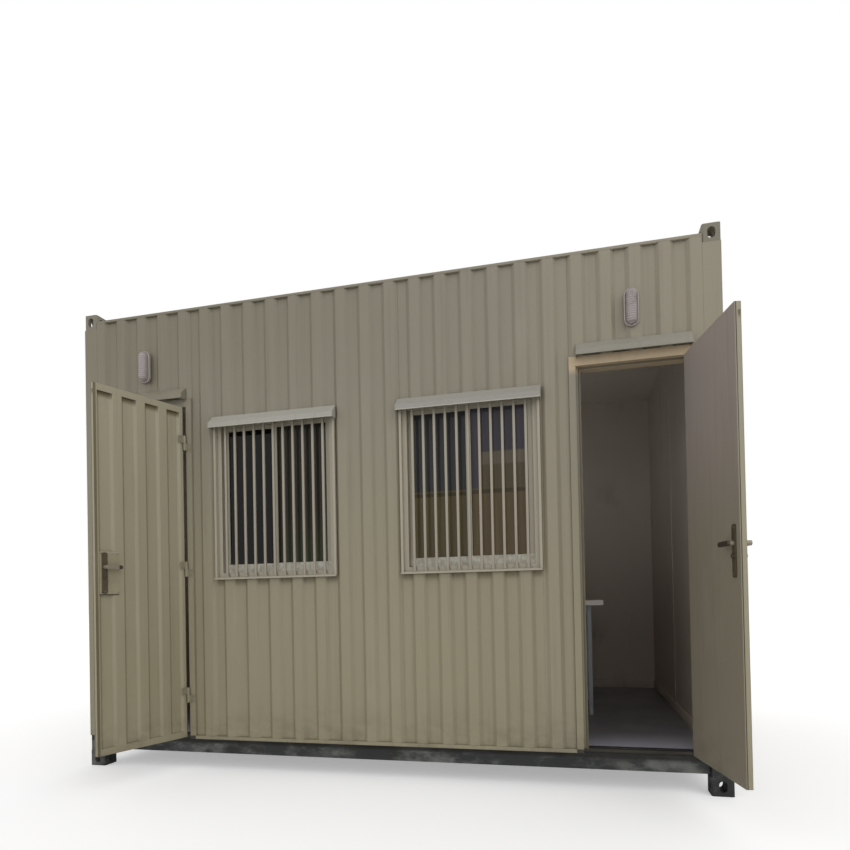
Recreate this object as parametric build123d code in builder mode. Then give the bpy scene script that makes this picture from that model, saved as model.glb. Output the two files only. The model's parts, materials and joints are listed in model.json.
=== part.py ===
"""Steel site cabin made like a shipping container, with two hinged doors and two barred windows.

Frame: +X runs along the long front wall, the front faces -Y, +Z is up.
The origin is on the ground, at the middle of the cabin's plan. Units are millimetres.
Both doors stand open at rest, each at its own angle.
"""
import os
from math import cos, radians, sin

from build123d import *

os.makedirs("parts", exist_ok=True)

# ---------------------------------------------------------------- overall sizes
length = 3800.0
width = 2440.0
base_height = 192.0
wall_height = 2658.0

# ---------------------------------------------------------------- frame of the cabin
post_width = 90.0
post_thickness = 4.0
block_width = 108.0
block_height = 95.0
block_neck_inset = 5.0
block_radius = 12.0
block_slot_length = 58.0
block_slot_width = 38.0
top_block_rise = 46.0
wall_foot_height = 20.0
base_rail_height = 88.0
base_rail_setback = 28.0
base_rail_thickness = 6.0
joist_count = 7
joist_height = 78.0
joist_width = 50.0
joist_thickness = 5.0
top_flange_height = 15.0
top_rail_height = 100.0
top_rail_width = 60.0

# ---------------------------------------------------------------- sheets and boards
wave_depth = 17.0
wave_end_margin = 195.0
wave_pitch_wanted = 148.0
wave_flat_width = 54.0
wave_slope_width = 20.0
lining_thickness = 12.0
floor_thickness = 18.0
ceiling_thickness = 15.0
roof_thickness = 60.0
roof_wave_depth = 20.0
roof_drop = 6.0

# ---------------------------------------------------------------- doors
leaf_width = 563.0
leaf_height = 2030.0
leaf_thickness = 28.0
leaf_bottom_gap = 13.0
left_leaf_end_gap = 162.0
right_hinge_end_gap = 155.0
left_open_angle = 71.0
right_open_angle = 101.0
hinge_offset = 11.0
hinge_gap = 3.0
latch_gap = 8.0
head_gap = 6.0
stop_gap = 7.0
door_face_width = 36.0
door_head_width = 50.0
door_stop_width = 24.0
head_stop_height = 12.0
leaf_recess_count = 4
leaf_recess_pitch = 142.5
leaf_recess_depth = 12.0
leaf_recess_width = 50.0
leaf_recess_angle = 40.0
leaf_band_height = 38.0

# ---------------------------------------------------------------- hinges and locks
knuckle_radius = 9.0
knuckle_length = 45.0
knuckle_play = 1.0
pin_radius = 5.0
pin_play = 0.1
hinge_plate_width = 34.0
hinge_plate_thickness = 4.0
hinge_root_width = 11.0
pin_length = 38.0
pin_end_play = 2.0
hinge_heights = (212.0, 984.0, 1761.0)
lock_height = 1025.0
lock_edge_gap = 48.0
lock_box_width = 112.0
lock_box_height = 237.0
lock_box_depth = 4.0
lock_box_radius = 5.0
lock_box_edge_gap = 22.0
escutcheon_width = 30.0
escutcheon_height = 225.0
escutcheon_depth = 7.0
escutcheon_above_lever = 80.0
spindle_radius = 5.0
spindle_play = 3.0
lever_hub_radius = 11.0
lever_standoff = 28.0
lever_length = 98.0
lever_thickness = 11.0
lever_play = 0.5
cylinder_radius = 9.0
cylinder_drop = 55.0
cylinder_proud = 9.0

# ---------------------------------------------------------------- windows
window_height = 974.0
window_sill_height = 972.0
window_share = 0.345
middle_pier_share = 0.553
window_pair_shift = 1.0
window_face_width = 40.0
window_trim_width = 14.0
window_setback = 14.0
window_frame_depth = 60.0
window_proud = 10.0
window_ledge = 12.0
window_ledge_height = 9.0
sash_face_width = 28.0
sash_depth = 22.0
sash_overlap = 36.0
sash_inset = 30.0
sash_rail_height = 52.0
sash_top_rail_height = 24.0
glass_thickness = 6.0
window_seat = 0.3

# ---------------------------------------------------------------- canopies and lamps
canopy_thickness = 3.0
canopy_flange = 18.0
window_canopy_height = 80.0
window_canopy_drop = 58.0
window_canopy_reach = 55.0
window_canopy_lip = 30.0
window_canopy_side = 8.0
door_canopy_height = 76.0
door_canopy_reach = 50.0
door_canopy_lip = 28.0
door_canopy_side = 6.0
door_canopy_gap = 47.0
lamp_width = 74.0
lamp_length = 200.0
lamp_base_depth = 14.0
lamp_cover_depth = 34.0
lamp_height = 2320.0
lamp_rim = 9.0
lamp_shifts = (5.0, -2.0)

# ---------------------------------------------------------------- table
table_length = 1500.0
table_width = 700.0
table_height = 780.0
table_top_thickness = 32.0
table_right_gap = 480.0
table_middle = 100.0
table_leg_width = 26.0
table_leg_end_gap = 92.0
table_leg_side_gap = 55.0
table_apron_height = 60.0
table_apron_thickness = 18.0

# ---------------------------------------------------------------- worked-out places
left_end = -length / 2
right_end = length / 2
front = -width / 2
back = width / 2
wall_top = base_height + wall_height
wall_thickness = post_width
panel_depth = wall_thickness - lining_thickness
panel_top = wall_top - top_flange_height
panel_bottom = base_height + wall_foot_height
room_top = wall_top - top_rail_height
floor_top = base_height + floor_thickness
ceiling_bottom = room_top - ceiling_thickness
top_block_top = wall_top + top_block_rise
post_top = top_block_top - block_height

left_hinge_x = left_end + left_leaf_end_gap + leaf_width
right_hinge_x = right_end - right_hinge_end_gap
hinge_y = front - hinge_offset
leaf_bottom = base_height + leaf_bottom_gap
leaf_top = leaf_bottom + leaf_height
frame_head = leaf_top + head_gap
stop_depth = leaf_thickness + stop_gap
lever_z = leaf_bottom + lock_height

left_frame_end = left_hinge_x + hinge_gap + door_face_width
right_frame_start = right_hinge_x - leaf_width - latch_gap - door_face_width
window_run = right_frame_start - left_frame_end
window_width = window_run * window_share
pier_total = window_run - 2 * window_width
window_spacing = pier_total * middle_pier_share + window_width
window_pair_middle = (left_frame_end + right_frame_start) / 2 + window_pair_shift
window_x = [window_pair_middle - window_spacing / 2, window_pair_middle + window_spacing / 2]
window_bottom = base_height + window_sill_height
window_top = window_bottom + window_height


def place(name, part):
    """Label a finished piece and write its STEP file."""
    part.label = name
    export_step(part, f"parts/{name}.step")


def wave_points(start, end, span):
    """Corrugation from start to end as (place, depth), for a wall of the given full span.

    Depth is 0 on the outer flats and wave_depth on the recessed flats. The first and last recesses
    are centred wave_end_margin from the wall's ends, and the others are spaced evenly between them.
    """
    count = round((span - 2 * wave_end_margin) / wave_pitch_wanted)
    pitch = (span - 2 * wave_end_margin) / count
    half_recess = (pitch - wave_flat_width) / 2
    corners = []
    for index in range(count + 1):
        middle = -span / 2 + wave_end_margin + index * pitch
        corners.append((middle - half_recess, 0.0))
        corners.append((middle - half_recess + wave_slope_width, wave_depth))
        corners.append((middle + half_recess - wave_slope_width, wave_depth))
        corners.append((middle + half_recess, 0.0))

    def depth_at(place_along):
        before = [corner for corner in corners if corner[0] <= place_along]
        after = [corner for corner in corners if corner[0] > place_along]
        if not before or not after:
            return 0.0
        (left, left_depth), (right, right_depth) = before[-1], after[0]
        return left_depth + (right_depth - left_depth) * (place_along - left) / (right - left)

    inside = [corner for corner in corners if start < corner[0] < end]
    return [(start, depth_at(start))] + inside + [(end, depth_at(end))]


def long_wall_panel(start, end, bottom, top):
    """Insulated steel panel of the front wall: corrugated outside, flat at the back."""
    outer = [(x, front + depth) for x, depth in wave_points(start, end, length)]
    with BuildPart() as panel:
        with BuildSketch(Plane.XY.offset(bottom)):
            with BuildLine():
                Polyline(*outer, (end, front + panel_depth), (start, front + panel_depth), close=True)
            make_face()
        extrude(amount=top - bottom)
    return panel.part


def long_lining(start, end, bottom, top):
    """Flat lining board on the room side of the front wall."""
    with BuildPart() as board:
        with BuildSketch(Plane.XY.offset(bottom)):
            with Locations(((start + end) / 2, front + panel_depth + lining_thickness / 2)):
                Rectangle(end - start, lining_thickness)
        extrude(amount=top - bottom)
    return board.part


# ---------------------------------------------------------------- corner blocks and posts
def corner_places(size):
    """Middles of four square pieces of the given size, flush with the cabin's corners in plan."""
    return [(side_x * (length - size) / 2, side_y * (width - size) / 2)
            for side_x in (-1, 1) for side_y in (-1, 1)]


def corner_blocks(size, bottom, neck=0.0):
    """Four rounded corner blocks with slotted holes through their sides, and a neck up to the posts."""
    places = corner_places(size)
    slot_level = bottom + block_height / 2
    slots_x = sorted({x for x, y in places})
    slots_y = sorted({y for x, y in places})
    with BuildPart() as blocks:
        with BuildSketch(Plane.XY.offset(bottom)):
            with Locations(*places):
                RectangleRounded(size, size, block_radius)
        extrude(amount=block_height)
        with BuildSketch(Plane.XZ.offset(width)):
            with Locations(*[(x, slot_level) for x in slots_x]):
                SlotOverall(block_slot_length, block_slot_width, rotation=90)
        extrude(amount=-2 * width, mode=Mode.SUBTRACT)
        with BuildSketch(Plane.YZ.offset(-length)):
            with Locations(*[(y, slot_level) for y in slots_y]):
                SlotOverall(block_slot_length, block_slot_width, rotation=90)
        extrude(amount=2 * length, mode=Mode.SUBTRACT)
        if neck:
            with BuildSketch(Plane.XY.offset(bottom + block_height)):
                with Locations(*places):
                    Rectangle(size - 2 * block_neck_inset, size - 2 * block_neck_inset)
            extrude(amount=neck)
    return blocks.part


place("bottom_corner_blocks", corner_blocks(block_width, 0.0, neck=base_height - block_height))
place("top_corner_blocks", corner_blocks(post_width, post_top))

with BuildPart() as posts:
    with BuildSketch(Plane.XY.offset(base_height)):
        with Locations(*corner_places(post_width)):
            Rectangle(post_width, post_width)
            Rectangle(post_width - 2 * post_thickness, post_width - 2 * post_thickness, mode=Mode.SUBTRACT)
    extrude(amount=post_top - base_height)
place("corner_posts", posts.part)

# ---------------------------------------------------------------- base frame
rail_middle = base_height - base_rail_height / 2
rail_flange = wall_thickness - base_rail_setback


def base_channel(direction):
    """C section of a base rail seen along its run: web outside, flanges inwards."""
    web = direction * (rail_flange - base_rail_thickness) / 2
    with BuildSketch(mode=Mode.PRIVATE) as section:
        Rectangle(rail_flange, base_rail_height)
        with Locations((-web + direction * base_rail_thickness / 2 + web, 0)):
            Rectangle(rail_flange - base_rail_thickness, base_rail_height - 2 * base_rail_thickness,
                      mode=Mode.SUBTRACT)
    return section.sketch


side_run = length - 2 * block_width
end_run = width - 2 * block_width
rail_offset = base_rail_setback + rail_flange / 2
with BuildPart() as side_rails:
    for outward in (-1, 1):
        with BuildSketch(Plane.YZ.offset(-side_run / 2)):
            with Locations((outward * (width / 2 - rail_offset), rail_middle)):
                add(base_channel(-outward))
        extrude(amount=side_run)
place("base_side_rails", side_rails.part)

with BuildPart() as end_rails:
    for outward in (-1, 1):
        with BuildSketch(Plane.XZ.offset(-end_run / 2)):
            with Locations((outward * (length / 2 - rail_offset), rail_middle)):
                add(base_channel(-outward))
        extrude(amount=end_run)
place("base_end_rails", end_rails.part)

joist_run = width - 2 * wall_thickness
joist_first = left_end + length / joist_count / 2
with BuildPart() as joists:
    for index in range(joist_count):
        with BuildSketch(Plane.XZ.offset(-joist_run / 2)):
            with Locations((joist_first + index * length / joist_count, base_height - joist_height / 2)):
                Rectangle(joist_width, joist_height)
                with Locations((joist_thickness, 0)):
                    Rectangle(joist_width, joist_height - 2 * joist_thickness, mode=Mode.SUBTRACT)
        extrude(amount=joist_run)
place("floor_joists", joists.part)

# ---------------------------------------------------------------- floor, ceiling, roof
room_length = length - 2 * wall_thickness
room_width = width - 2 * wall_thickness
with BuildPart() as floor_board:
    with BuildSketch(Plane.XY.offset(base_height)):
        Rectangle(room_length, room_width)
    extrude(amount=floor_thickness)
place("floor_board", floor_board.part)

with BuildPart() as ceiling:
    with BuildSketch(Plane.XY.offset(ceiling_bottom)):
        Rectangle(room_length, room_width)
    extrude(amount=ceiling_thickness)
place("ceiling_board", ceiling.part)

roof_length = room_length - 2 * top_rail_width
roof_width = room_width - 2 * top_rail_width
roof_top = wall_top - roof_drop
roof_scale = roof_wave_depth / wave_depth
roof_line = [(x, roof_top - depth * roof_scale)
             for x, depth in wave_points(-roof_length / 2, roof_length / 2, length)]
with BuildPart() as roof:
    with BuildSketch(Plane.XZ.offset(-roof_width / 2)):
        with BuildLine():
            Polyline(*roof_line, (roof_length / 2, roof_top - roof_thickness),
                     (-roof_length / 2, roof_top - roof_thickness), close=True)
        make_face()
    extrude(amount=roof_width)
place("roof_panel", roof.part)


def top_rail_outline(outward, span):
    """Flanged top rail seen along its run: a flange over the wall and a box on the room side."""
    outside = outward * span / 2
    box_face = outside - outward * wall_thickness
    inside = box_face - outward * top_rail_width
    return [(outside, wall_top), (inside, wall_top), (inside, room_top), (box_face, room_top),
            (box_face, panel_top), (outside, panel_top)]


with BuildPart() as top_side_rails:
    for outward in (-1, 1):
        with BuildSketch(Plane.YZ.offset(-room_length / 2)):
            with BuildLine():
                Polyline(*top_rail_outline(outward, width), close=True)
            make_face()
        extrude(amount=room_length)
place("top_side_rails", top_side_rails.part)

end_box_run = room_width - 2 * top_rail_width
with BuildPart() as top_end_rails:
    for outward in (-1, 1):
        with BuildSketch(Plane.XZ.offset(-end_box_run / 2)):
            with BuildLine():
                Polyline(*top_rail_outline(outward, length), close=True)
            make_face()
        extrude(amount=end_box_run)
        with BuildSketch(Plane.XZ.offset(-room_width / 2)):
            with Locations((outward * (length - wall_thickness) / 2, wall_top - top_flange_height / 2)):
                Rectangle(wall_thickness, top_flange_height)
        extrude(amount=room_width)
place("top_end_rails", top_end_rails.part)

# ---------------------------------------------------------------- walls without openings
with BuildPart() as back_wall:
    outer = [(x, back - depth) for x, depth in wave_points(-length / 2 + post_width,
                                                            length / 2 - post_width, length)]
    with BuildSketch(Plane.XY.offset(panel_bottom)):
        with BuildLine():
            Polyline(*outer, (right_end - post_width, back - panel_depth),
                     (left_end + post_width, back - panel_depth), close=True)
        make_face()
    extrude(amount=panel_top - panel_bottom)
place("back_wall", back_wall.part)


def end_wall(outward):
    """Corrugated end wall between its two corner posts."""
    outside = outward * length / 2
    outer = [(outside - outward * depth, y) for y, depth in wave_points(front + post_width,
                                                                         back - post_width, width)]
    inside = outside - outward * panel_depth
    with BuildPart() as wall:
        with BuildSketch(Plane.XY.offset(panel_bottom)):
            with BuildLine():
                Polyline(*outer, (inside, back - post_width), (inside, front + post_width), close=True)
            make_face()
        extrude(amount=panel_top - panel_bottom)
    return wall.part


place("left_end_wall", end_wall(-1))
place("right_end_wall", end_wall(1))

with BuildPart() as back_lining:
    with BuildSketch(Plane.XY.offset(base_height)):
        with Locations((0, back - panel_depth - lining_thickness / 2)):
            Rectangle(room_length, lining_thickness)
    extrude(amount=panel_top - base_height)
place("back_lining", back_lining.part)

for name, outward in (("left_end_lining", -1), ("right_end_lining", 1)):
    with BuildPart() as end_lining:
        with BuildSketch(Plane.XY.offset(base_height)):
            with Locations((outward * (length / 2 - panel_depth - lining_thickness / 2), 0)):
                Rectangle(lining_thickness, room_width)
        extrude(amount=panel_top - base_height)
    place(name, end_lining.part)

# ---------------------------------------------------------------- front wall round doors and windows
door_spans = [
    (left_end + post_width, left_frame_end),
    (right_frame_start, right_end - post_width),
]
window_spans = [(x - window_width / 2, x + window_width / 2) for x in window_x]
pier_spans = [
    (door_spans[0][1], window_spans[0][0]),
    (window_spans[0][1], window_spans[1][0]),
    (window_spans[1][1], door_spans[1][0]),
]
door_frame_top = frame_head + door_head_width
front_pieces = {
    "piers": (pier_spans, base_height, panel_top),
    "below_windows": (window_spans, base_height, window_bottom),
    "above_windows": (window_spans, window_top, panel_top),
    "above_doors": (door_spans, door_frame_top, panel_top),
}
for name, (spans, bottom, top) in front_pieces.items():
    foot = wall_foot_height if bottom == base_height else 0.0
    panels = [long_wall_panel(*span, bottom + foot, top) for span in spans]
    place(f"front_wall_{name}", Compound(children=panels))
    place(f"front_lining_{name}", Compound(children=[long_lining(*span, bottom, top) for span in spans]))

with BuildPart() as wall_feet:
    with BuildSketch(Plane.XY.offset(base_height)):
        with Locations(((left_frame_end + right_frame_start) / 2, front + panel_depth / 2)):
            Rectangle(window_run, panel_depth)
        with Locations((0, back - panel_depth / 2)):
            Rectangle(room_length, panel_depth)
        with Locations((left_end + panel_depth / 2, 0), (right_end - panel_depth / 2, 0)):
            Rectangle(panel_depth, room_width)
    extrude(amount=wall_foot_height)
place("wall_foot_strips", wall_feet.part)


# ---------------------------------------------------------------- door frames
def door_frame(span, hinge_x):
    """Steel frame of one doorway: outer face round the leaf, and a stop behind it on all four sides."""
    rebate = (hinge_x - leaf_width - latch_gap, hinge_x + hinge_gap)
    clear = (rebate[0] + door_stop_width, rebate[1] - door_stop_width)
    with BuildPart() as frame:
        with BuildSketch(Plane.XZ.offset(-front)):
            with Locations(((span[0] + span[1]) / 2, (base_height + door_frame_top) / 2)):
                Rectangle(span[1] - span[0], door_frame_top - base_height)
            with Locations(((rebate[0] + rebate[1]) / 2, (base_height + frame_head) / 2)):
                Rectangle(rebate[1] - rebate[0], frame_head - base_height, mode=Mode.SUBTRACT)
        extrude(amount=-stop_depth)
        with BuildSketch(Plane.XZ.offset(-front - stop_depth)):
            with Locations(((span[0] + span[1]) / 2, (base_height + door_frame_top) / 2)):
                Rectangle(span[1] - span[0], door_frame_top - base_height)
            with Locations(((clear[0] + clear[1]) / 2, (floor_top + frame_head - head_stop_height) / 2)):
                Rectangle(clear[1] - clear[0], frame_head - head_stop_height - floor_top,
                          mode=Mode.SUBTRACT)
        extrude(amount=-(wall_thickness - stop_depth))
    return frame.part


place("left_door_frame", door_frame(door_spans[0], left_hinge_x))
place("right_door_frame", door_frame(door_spans[1], right_hinge_x))


# ---------------------------------------------------------------- windows
def window_frame(x):
    """Window frame: a thin surround through the wall, a deeper inner frame set back in it, and a ledge."""
    middle = (x, (window_bottom + window_top) / 2)
    surround = (window_width - 2 * window_trim_width, window_height - 2 * window_trim_width)
    opening = (window_width - 2 * window_face_width, window_height - 2 * window_face_width)
    with BuildPart() as frame:
        with BuildSketch(Plane.XZ.offset(-front + window_proud)):
            with Locations(middle):
                Rectangle(window_width, window_height)
                Rectangle(*surround, mode=Mode.SUBTRACT)
        extrude(amount=-(window_proud + wall_thickness))
        with BuildSketch(Plane.XZ.offset(-front - window_setback)):
            with Locations(middle):
                Rectangle(*surround)
                Rectangle(*opening, mode=Mode.SUBTRACT)
        extrude(amount=-window_frame_depth)
        with BuildSketch(Plane.XZ.offset(-front + window_proud)):
            with Locations((x, window_bottom + window_ledge_height / 2)):
                Rectangle(window_width, window_ledge_height)
        extrude(amount=window_ledge)
    return frame.part


pane_width = (window_width - 2 * window_face_width + sash_overlap) / 2
pane_height = window_height - 2 * window_face_width
glass_size = (pane_width - 2 * sash_face_width, pane_height - sash_rail_height - sash_top_rail_height)
glass_middle = (window_bottom + window_top + sash_rail_height - sash_top_rail_height) / 2
sash_tracks = (sash_inset, sash_inset + sash_depth + window_seat)


def pane_places(x):
    """Middle of each pane in X, with the depth of its track: the right pane slides in front."""
    half = (window_width - 2 * window_face_width - pane_width) / 2
    return ((x + half, sash_tracks[0]), (x - half, sash_tracks[1]))


def window_sashes(x):
    """The two sash frames, one behind the other at the meeting stile."""
    middle_z = (window_bottom + window_top) / 2
    with BuildPart() as sashes:
        for pane_x, depth in pane_places(x):
            with BuildSketch(Plane.XZ.offset(-front - depth)):
                with Locations((pane_x, middle_z)):
                    Rectangle(pane_width - 2 * window_seat, pane_height - 2 * window_seat)
                with Locations((pane_x, glass_middle)):
                    Rectangle(*glass_size, mode=Mode.SUBTRACT)
            extrude(amount=-sash_depth)
    return sashes.part


def window_glass(x):
    """A sheet of glass in each sash."""
    with BuildPart() as glass:
        for pane_x, depth in pane_places(x):
            with BuildSketch(Plane.XZ.offset(-front - depth - (sash_depth - glass_thickness) / 2)):
                with Locations((pane_x, glass_middle)):
                    Rectangle(*glass_size)
            extrude(amount=-glass_thickness)
    return glass.part


for number, x in enumerate(window_x, start=1):
    place(f"window_{number}_frame", window_frame(x))
    place(f"window_{number}_sashes", window_sashes(x))
    place(f"window_{number}_glass", window_glass(x))


# ---------------------------------------------------------------- canopies
def canopy(x, bottom, run, height, reach, lip):
    """Folded drip canopy: a fixing flange, a sloping sheet with a front lip, and closed ends."""
    outer = [(front, bottom + height), (front - reach, bottom + lip), (front - reach, bottom),
             (front, bottom)]
    inner = [(front - canopy_thickness, bottom + height - 2 * canopy_thickness),
             (front - reach + canopy_thickness, bottom + lip - canopy_thickness),
             (front - reach + canopy_thickness, bottom), (front, bottom),
             (front, bottom + height - canopy_flange),
             (front - canopy_thickness, bottom + height - canopy_flange)]
    with BuildPart() as hood:
        with BuildSketch(Plane.YZ.offset(x - run / 2)):
            with BuildLine():
                Polyline(*outer, close=True)
            make_face()
        extrude(amount=run)
        with BuildSketch(Plane.YZ.offset(x - run / 2 + canopy_thickness)):
            with BuildLine():
                Polyline(*inner, close=True)
            make_face()
        extrude(amount=run - 2 * canopy_thickness, mode=Mode.SUBTRACT)
    return hood.part


for number, x in enumerate(window_x, start=1):
    place(f"window_{number}_canopy", canopy(x, window_top - window_canopy_drop,
                                            window_width + 2 * window_canopy_side,
                                            window_canopy_height, window_canopy_reach,
                                            window_canopy_lip))
door_middles = {
    "left_door": left_hinge_x - leaf_width / 2,
    "right_door": right_hinge_x - leaf_width / 2,
}
for name, x in door_middles.items():
    place(f"{name}_canopy", canopy(x, leaf_top + door_canopy_gap, leaf_width + 2 * door_canopy_side,
                                   door_canopy_height, door_canopy_reach, door_canopy_lip))

# ---------------------------------------------------------------- lamps over the doors
lamp_z = base_height + lamp_height
lamp_places = [(x + shift, lamp_z) for x, shift in zip(door_middles.values(), lamp_shifts)]
lamp_straight = lamp_length - lamp_width
with BuildPart() as lamp_bases:
    with BuildSketch(Plane.XZ.offset(-front)):
        with Locations(*lamp_places):
            SlotCenterToCenter(lamp_straight, lamp_width, rotation=90)
    extrude(amount=lamp_base_depth)
place("lamp_bases", lamp_bases.part)

with BuildPart() as lamp_covers:
    with BuildSketch(Plane.XZ.offset(-front + lamp_base_depth)):
        with Locations(*lamp_places):
            SlotCenterToCenter(lamp_straight, lamp_width - 2 * lamp_rim, rotation=90)
    extrude(amount=lamp_cover_depth)
    fillet(lamp_covers.faces().filter_by(Axis.Y).group_by(Axis.Y)[0].edges(), lamp_width / 3)
place("lamp_covers", lamp_covers.part)

# ---------------------------------------------------------------- table
table_x = right_end - wall_thickness - table_right_gap - table_length / 2
table_under = floor_top + table_height - table_top_thickness
with BuildPart() as table_top:
    with BuildSketch(Plane.XY.offset(table_under)):
        with Locations((table_x, table_middle)):
            Rectangle(table_length, table_width)
    extrude(amount=table_top_thickness)
place("table_top", table_top.part)

leg_spread_x = table_length - 2 * table_leg_end_gap
leg_spread_y = table_width - 2 * table_leg_side_gap
with BuildPart() as table_frame:
    with BuildSketch(Plane.XY.offset(floor_top)):
        with Locations((table_x, table_middle)):
            with GridLocations(leg_spread_x, leg_spread_y, 2, 2):
                Rectangle(table_leg_width, table_leg_width)
    extrude(amount=table_under - floor_top)
    with BuildSketch(Plane.XY.offset(table_under - table_apron_height)):
        with Locations((table_x, table_middle)):
            Rectangle(leg_spread_x + table_apron_thickness, leg_spread_y + table_apron_thickness)
            Rectangle(leg_spread_x - table_apron_thickness, leg_spread_y - table_apron_thickness,
                      mode=Mode.SUBTRACT)
    extrude(amount=table_apron_height)
place("table_frame", table_frame.part)


# ---------------------------------------------------------------- hinged doors
def hinge_plane(hinge_x, angle):
    """Plane on a door's hinge axis: local X runs to the free edge, local Y out of the outer face."""
    turn = radians(angle)
    return Plane(origin=(hinge_x, hinge_y, 0), x_dir=(-cos(turn), -sin(turn), 0), z_dir=(0, 0, 1))


def outer_face_plane(base):
    """Plane on a closed leaf's outer face: X to the free edge, Y up, and Z into the leaf."""
    return Plane(origin=base.from_local_coords(Vector(0, -hinge_offset, 0)), x_dir=base.x_dir,
                 z_dir=-base.y_dir)


lever_x = leaf_width - lock_edge_gap


def door_leaf(base):
    """Insulated steel leaf: vertical recesses between flat bands outside, a flat sheet inside."""
    half_mouth = leaf_recess_width / 2 + wave_slope_width
    recess_middle = (hinge_gap + leaf_width) / 2
    with BuildPart() as leaf:
        with BuildSketch(base.offset(leaf_bottom)):
            with Locations((recess_middle, -hinge_offset - leaf_thickness / 2)):
                Rectangle(leaf_width - hinge_gap, leaf_thickness)
        extrude(amount=leaf_height)
        with BuildSketch(base.offset(leaf_bottom + leaf_band_height)):
            with Locations((recess_middle, -hinge_offset)):
                with GridLocations(leaf_recess_pitch, 0, leaf_recess_count, 1):
                    Trapezoid(2 * half_mouth, leaf_recess_depth, leaf_recess_angle, rotation=180,
                              align=(Align.CENTER, Align.MIN))
        extrude(amount=leaf_height - 2 * leaf_band_height, mode=Mode.SUBTRACT)
        with BuildSketch(outer_face_plane(base)):
            with Locations((lever_x, lever_z)):
                Circle(spindle_radius + spindle_play)
        extrude(amount=leaf_thickness, mode=Mode.SUBTRACT)
    return leaf.part


def leaf_knuckles(base):
    """Upper half of each hinge: a barrel bored for the pin, and a plate on the leaf's outer face."""
    with BuildPart() as knuckles:
        for height in hinge_heights:
            bottom = leaf_bottom + height + knuckle_length + knuckle_play
            with BuildSketch(base.offset(bottom)):
                Circle(knuckle_radius)
                with Locations((hinge_gap, -hinge_offset)):
                    Rectangle(hinge_plate_width, hinge_plate_thickness, align=(Align.MIN, Align.MIN))
                    Rectangle(hinge_root_width, hinge_offset, align=(Align.MIN, Align.MIN))
            extrude(amount=knuckle_length)
            with BuildSketch(base.offset(bottom)):
                Circle(pin_radius + pin_play)
            extrude(amount=pin_length, mode=Mode.SUBTRACT)
    return knuckles.part


def frame_knuckles(hinge_x):
    """Lower half of each hinge: a barrel carrying the pin, and a plate on the door frame's face."""
    with BuildPart() as knuckles:
        for height in hinge_heights:
            bottom = leaf_bottom + height
            with BuildSketch(Plane.XY.offset(bottom)):
                with Locations((hinge_x, hinge_y)):
                    Circle(knuckle_radius)
                with Locations((hinge_x + hinge_gap, front)):
                    Rectangle(hinge_plate_width, hinge_plate_thickness, align=(Align.MIN, Align.MAX))
                    Rectangle(hinge_root_width, hinge_offset, align=(Align.MIN, Align.MAX))
            extrude(amount=knuckle_length)
            with BuildSketch(Plane.XY.offset(bottom + knuckle_length)):
                with Locations((hinge_x, hinge_y)):
                    Circle(pin_radius)
            extrude(amount=knuckle_play + pin_length - pin_end_play)
    return knuckles.part


def lock_plates(base):
    """Lock box cover and escutcheon outside, and an escutcheon inside, round the lever's spindle."""
    face = outer_face_plane(base)
    plate_z = lever_z - escutcheon_height / 2 + escutcheon_above_lever
    box_x = leaf_width - lock_box_edge_gap - lock_box_width / 2
    with BuildPart() as plates:
        with BuildSketch(face):
            with Locations((box_x, plate_z)):
                RectangleRounded(lock_box_width, lock_box_height, lock_box_radius)
        extrude(amount=-lock_box_depth)
        with BuildSketch(face.offset(-lock_box_depth)):
            with Locations((lever_x, plate_z)):
                RectangleRounded(escutcheon_width, escutcheon_height, escutcheon_width / 3)
        extrude(amount=-escutcheon_depth)
        with BuildSketch(face.offset(-lock_box_depth - escutcheon_depth)):
            with Locations((lever_x, lever_z - cylinder_drop)):
                Circle(cylinder_radius)
        extrude(amount=-cylinder_proud)
        with BuildSketch(face.offset(leaf_thickness)):
            with Locations((lever_x, plate_z)):
                RectangleRounded(escutcheon_width, escutcheon_height, escutcheon_width / 3)
        extrude(amount=escutcheon_depth)
        with BuildSketch(face.offset(leaf_thickness + escutcheon_depth)):
            with Locations((lever_x, lever_z - cylinder_drop)):
                Circle(cylinder_radius)
        extrude(amount=cylinder_proud)
        with BuildSketch(face.offset(-lock_box_depth - escutcheon_depth)):
            with Locations((lever_x, lever_z)):
                Circle(spindle_radius + spindle_play)
        extrude(amount=lock_box_depth + 2 * escutcheon_depth + leaf_thickness, mode=Mode.SUBTRACT)
    return plates.part


def lever_set(base):
    """Two lever handles on one spindle through the leaf, both pointing to the hinges."""
    face = outer_face_plane(base)
    outer_start = -lock_box_depth - escutcheon_depth - lever_play
    inner_start = leaf_thickness + escutcheon_depth + lever_play
    with BuildPart() as lever:
        with BuildSketch(face.offset(outer_start)):
            with Locations((lever_x, lever_z)):
                Circle(spindle_radius)
        extrude(amount=inner_start - outer_start)
        for start, outward in ((outer_start, -1), (inner_start, 1)):
            with BuildSketch(face.offset(start)):
                with Locations((lever_x, lever_z)):
                    Circle(lever_hub_radius)
            extrude(amount=outward * lever_standoff)
            with BuildSketch(face.offset(start + outward * (lever_standoff - lever_thickness))):
                with Locations((lever_x - lever_length / 2 + lever_hub_radius, lever_z)):
                    SlotOverall(lever_length, 2 * lever_hub_radius)
            extrude(amount=outward * lever_thickness)
    return lever.part


doors = {
    "left_door": (left_hinge_x, left_open_angle),
    "right_door": (right_hinge_x, right_open_angle),
}
for name, (hinge_x, angle) in doors.items():
    base = hinge_plane(hinge_x, angle)
    place(f"{name}_leaf", door_leaf(base))
    place(f"{name}_hinges", leaf_knuckles(base))
    place(f"{name}_frame_hinges", frame_knuckles(hinge_x))
    place(f"{name}_lock", lock_plates(base))
    place(f"{name}_lever", lever_set(base))
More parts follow.
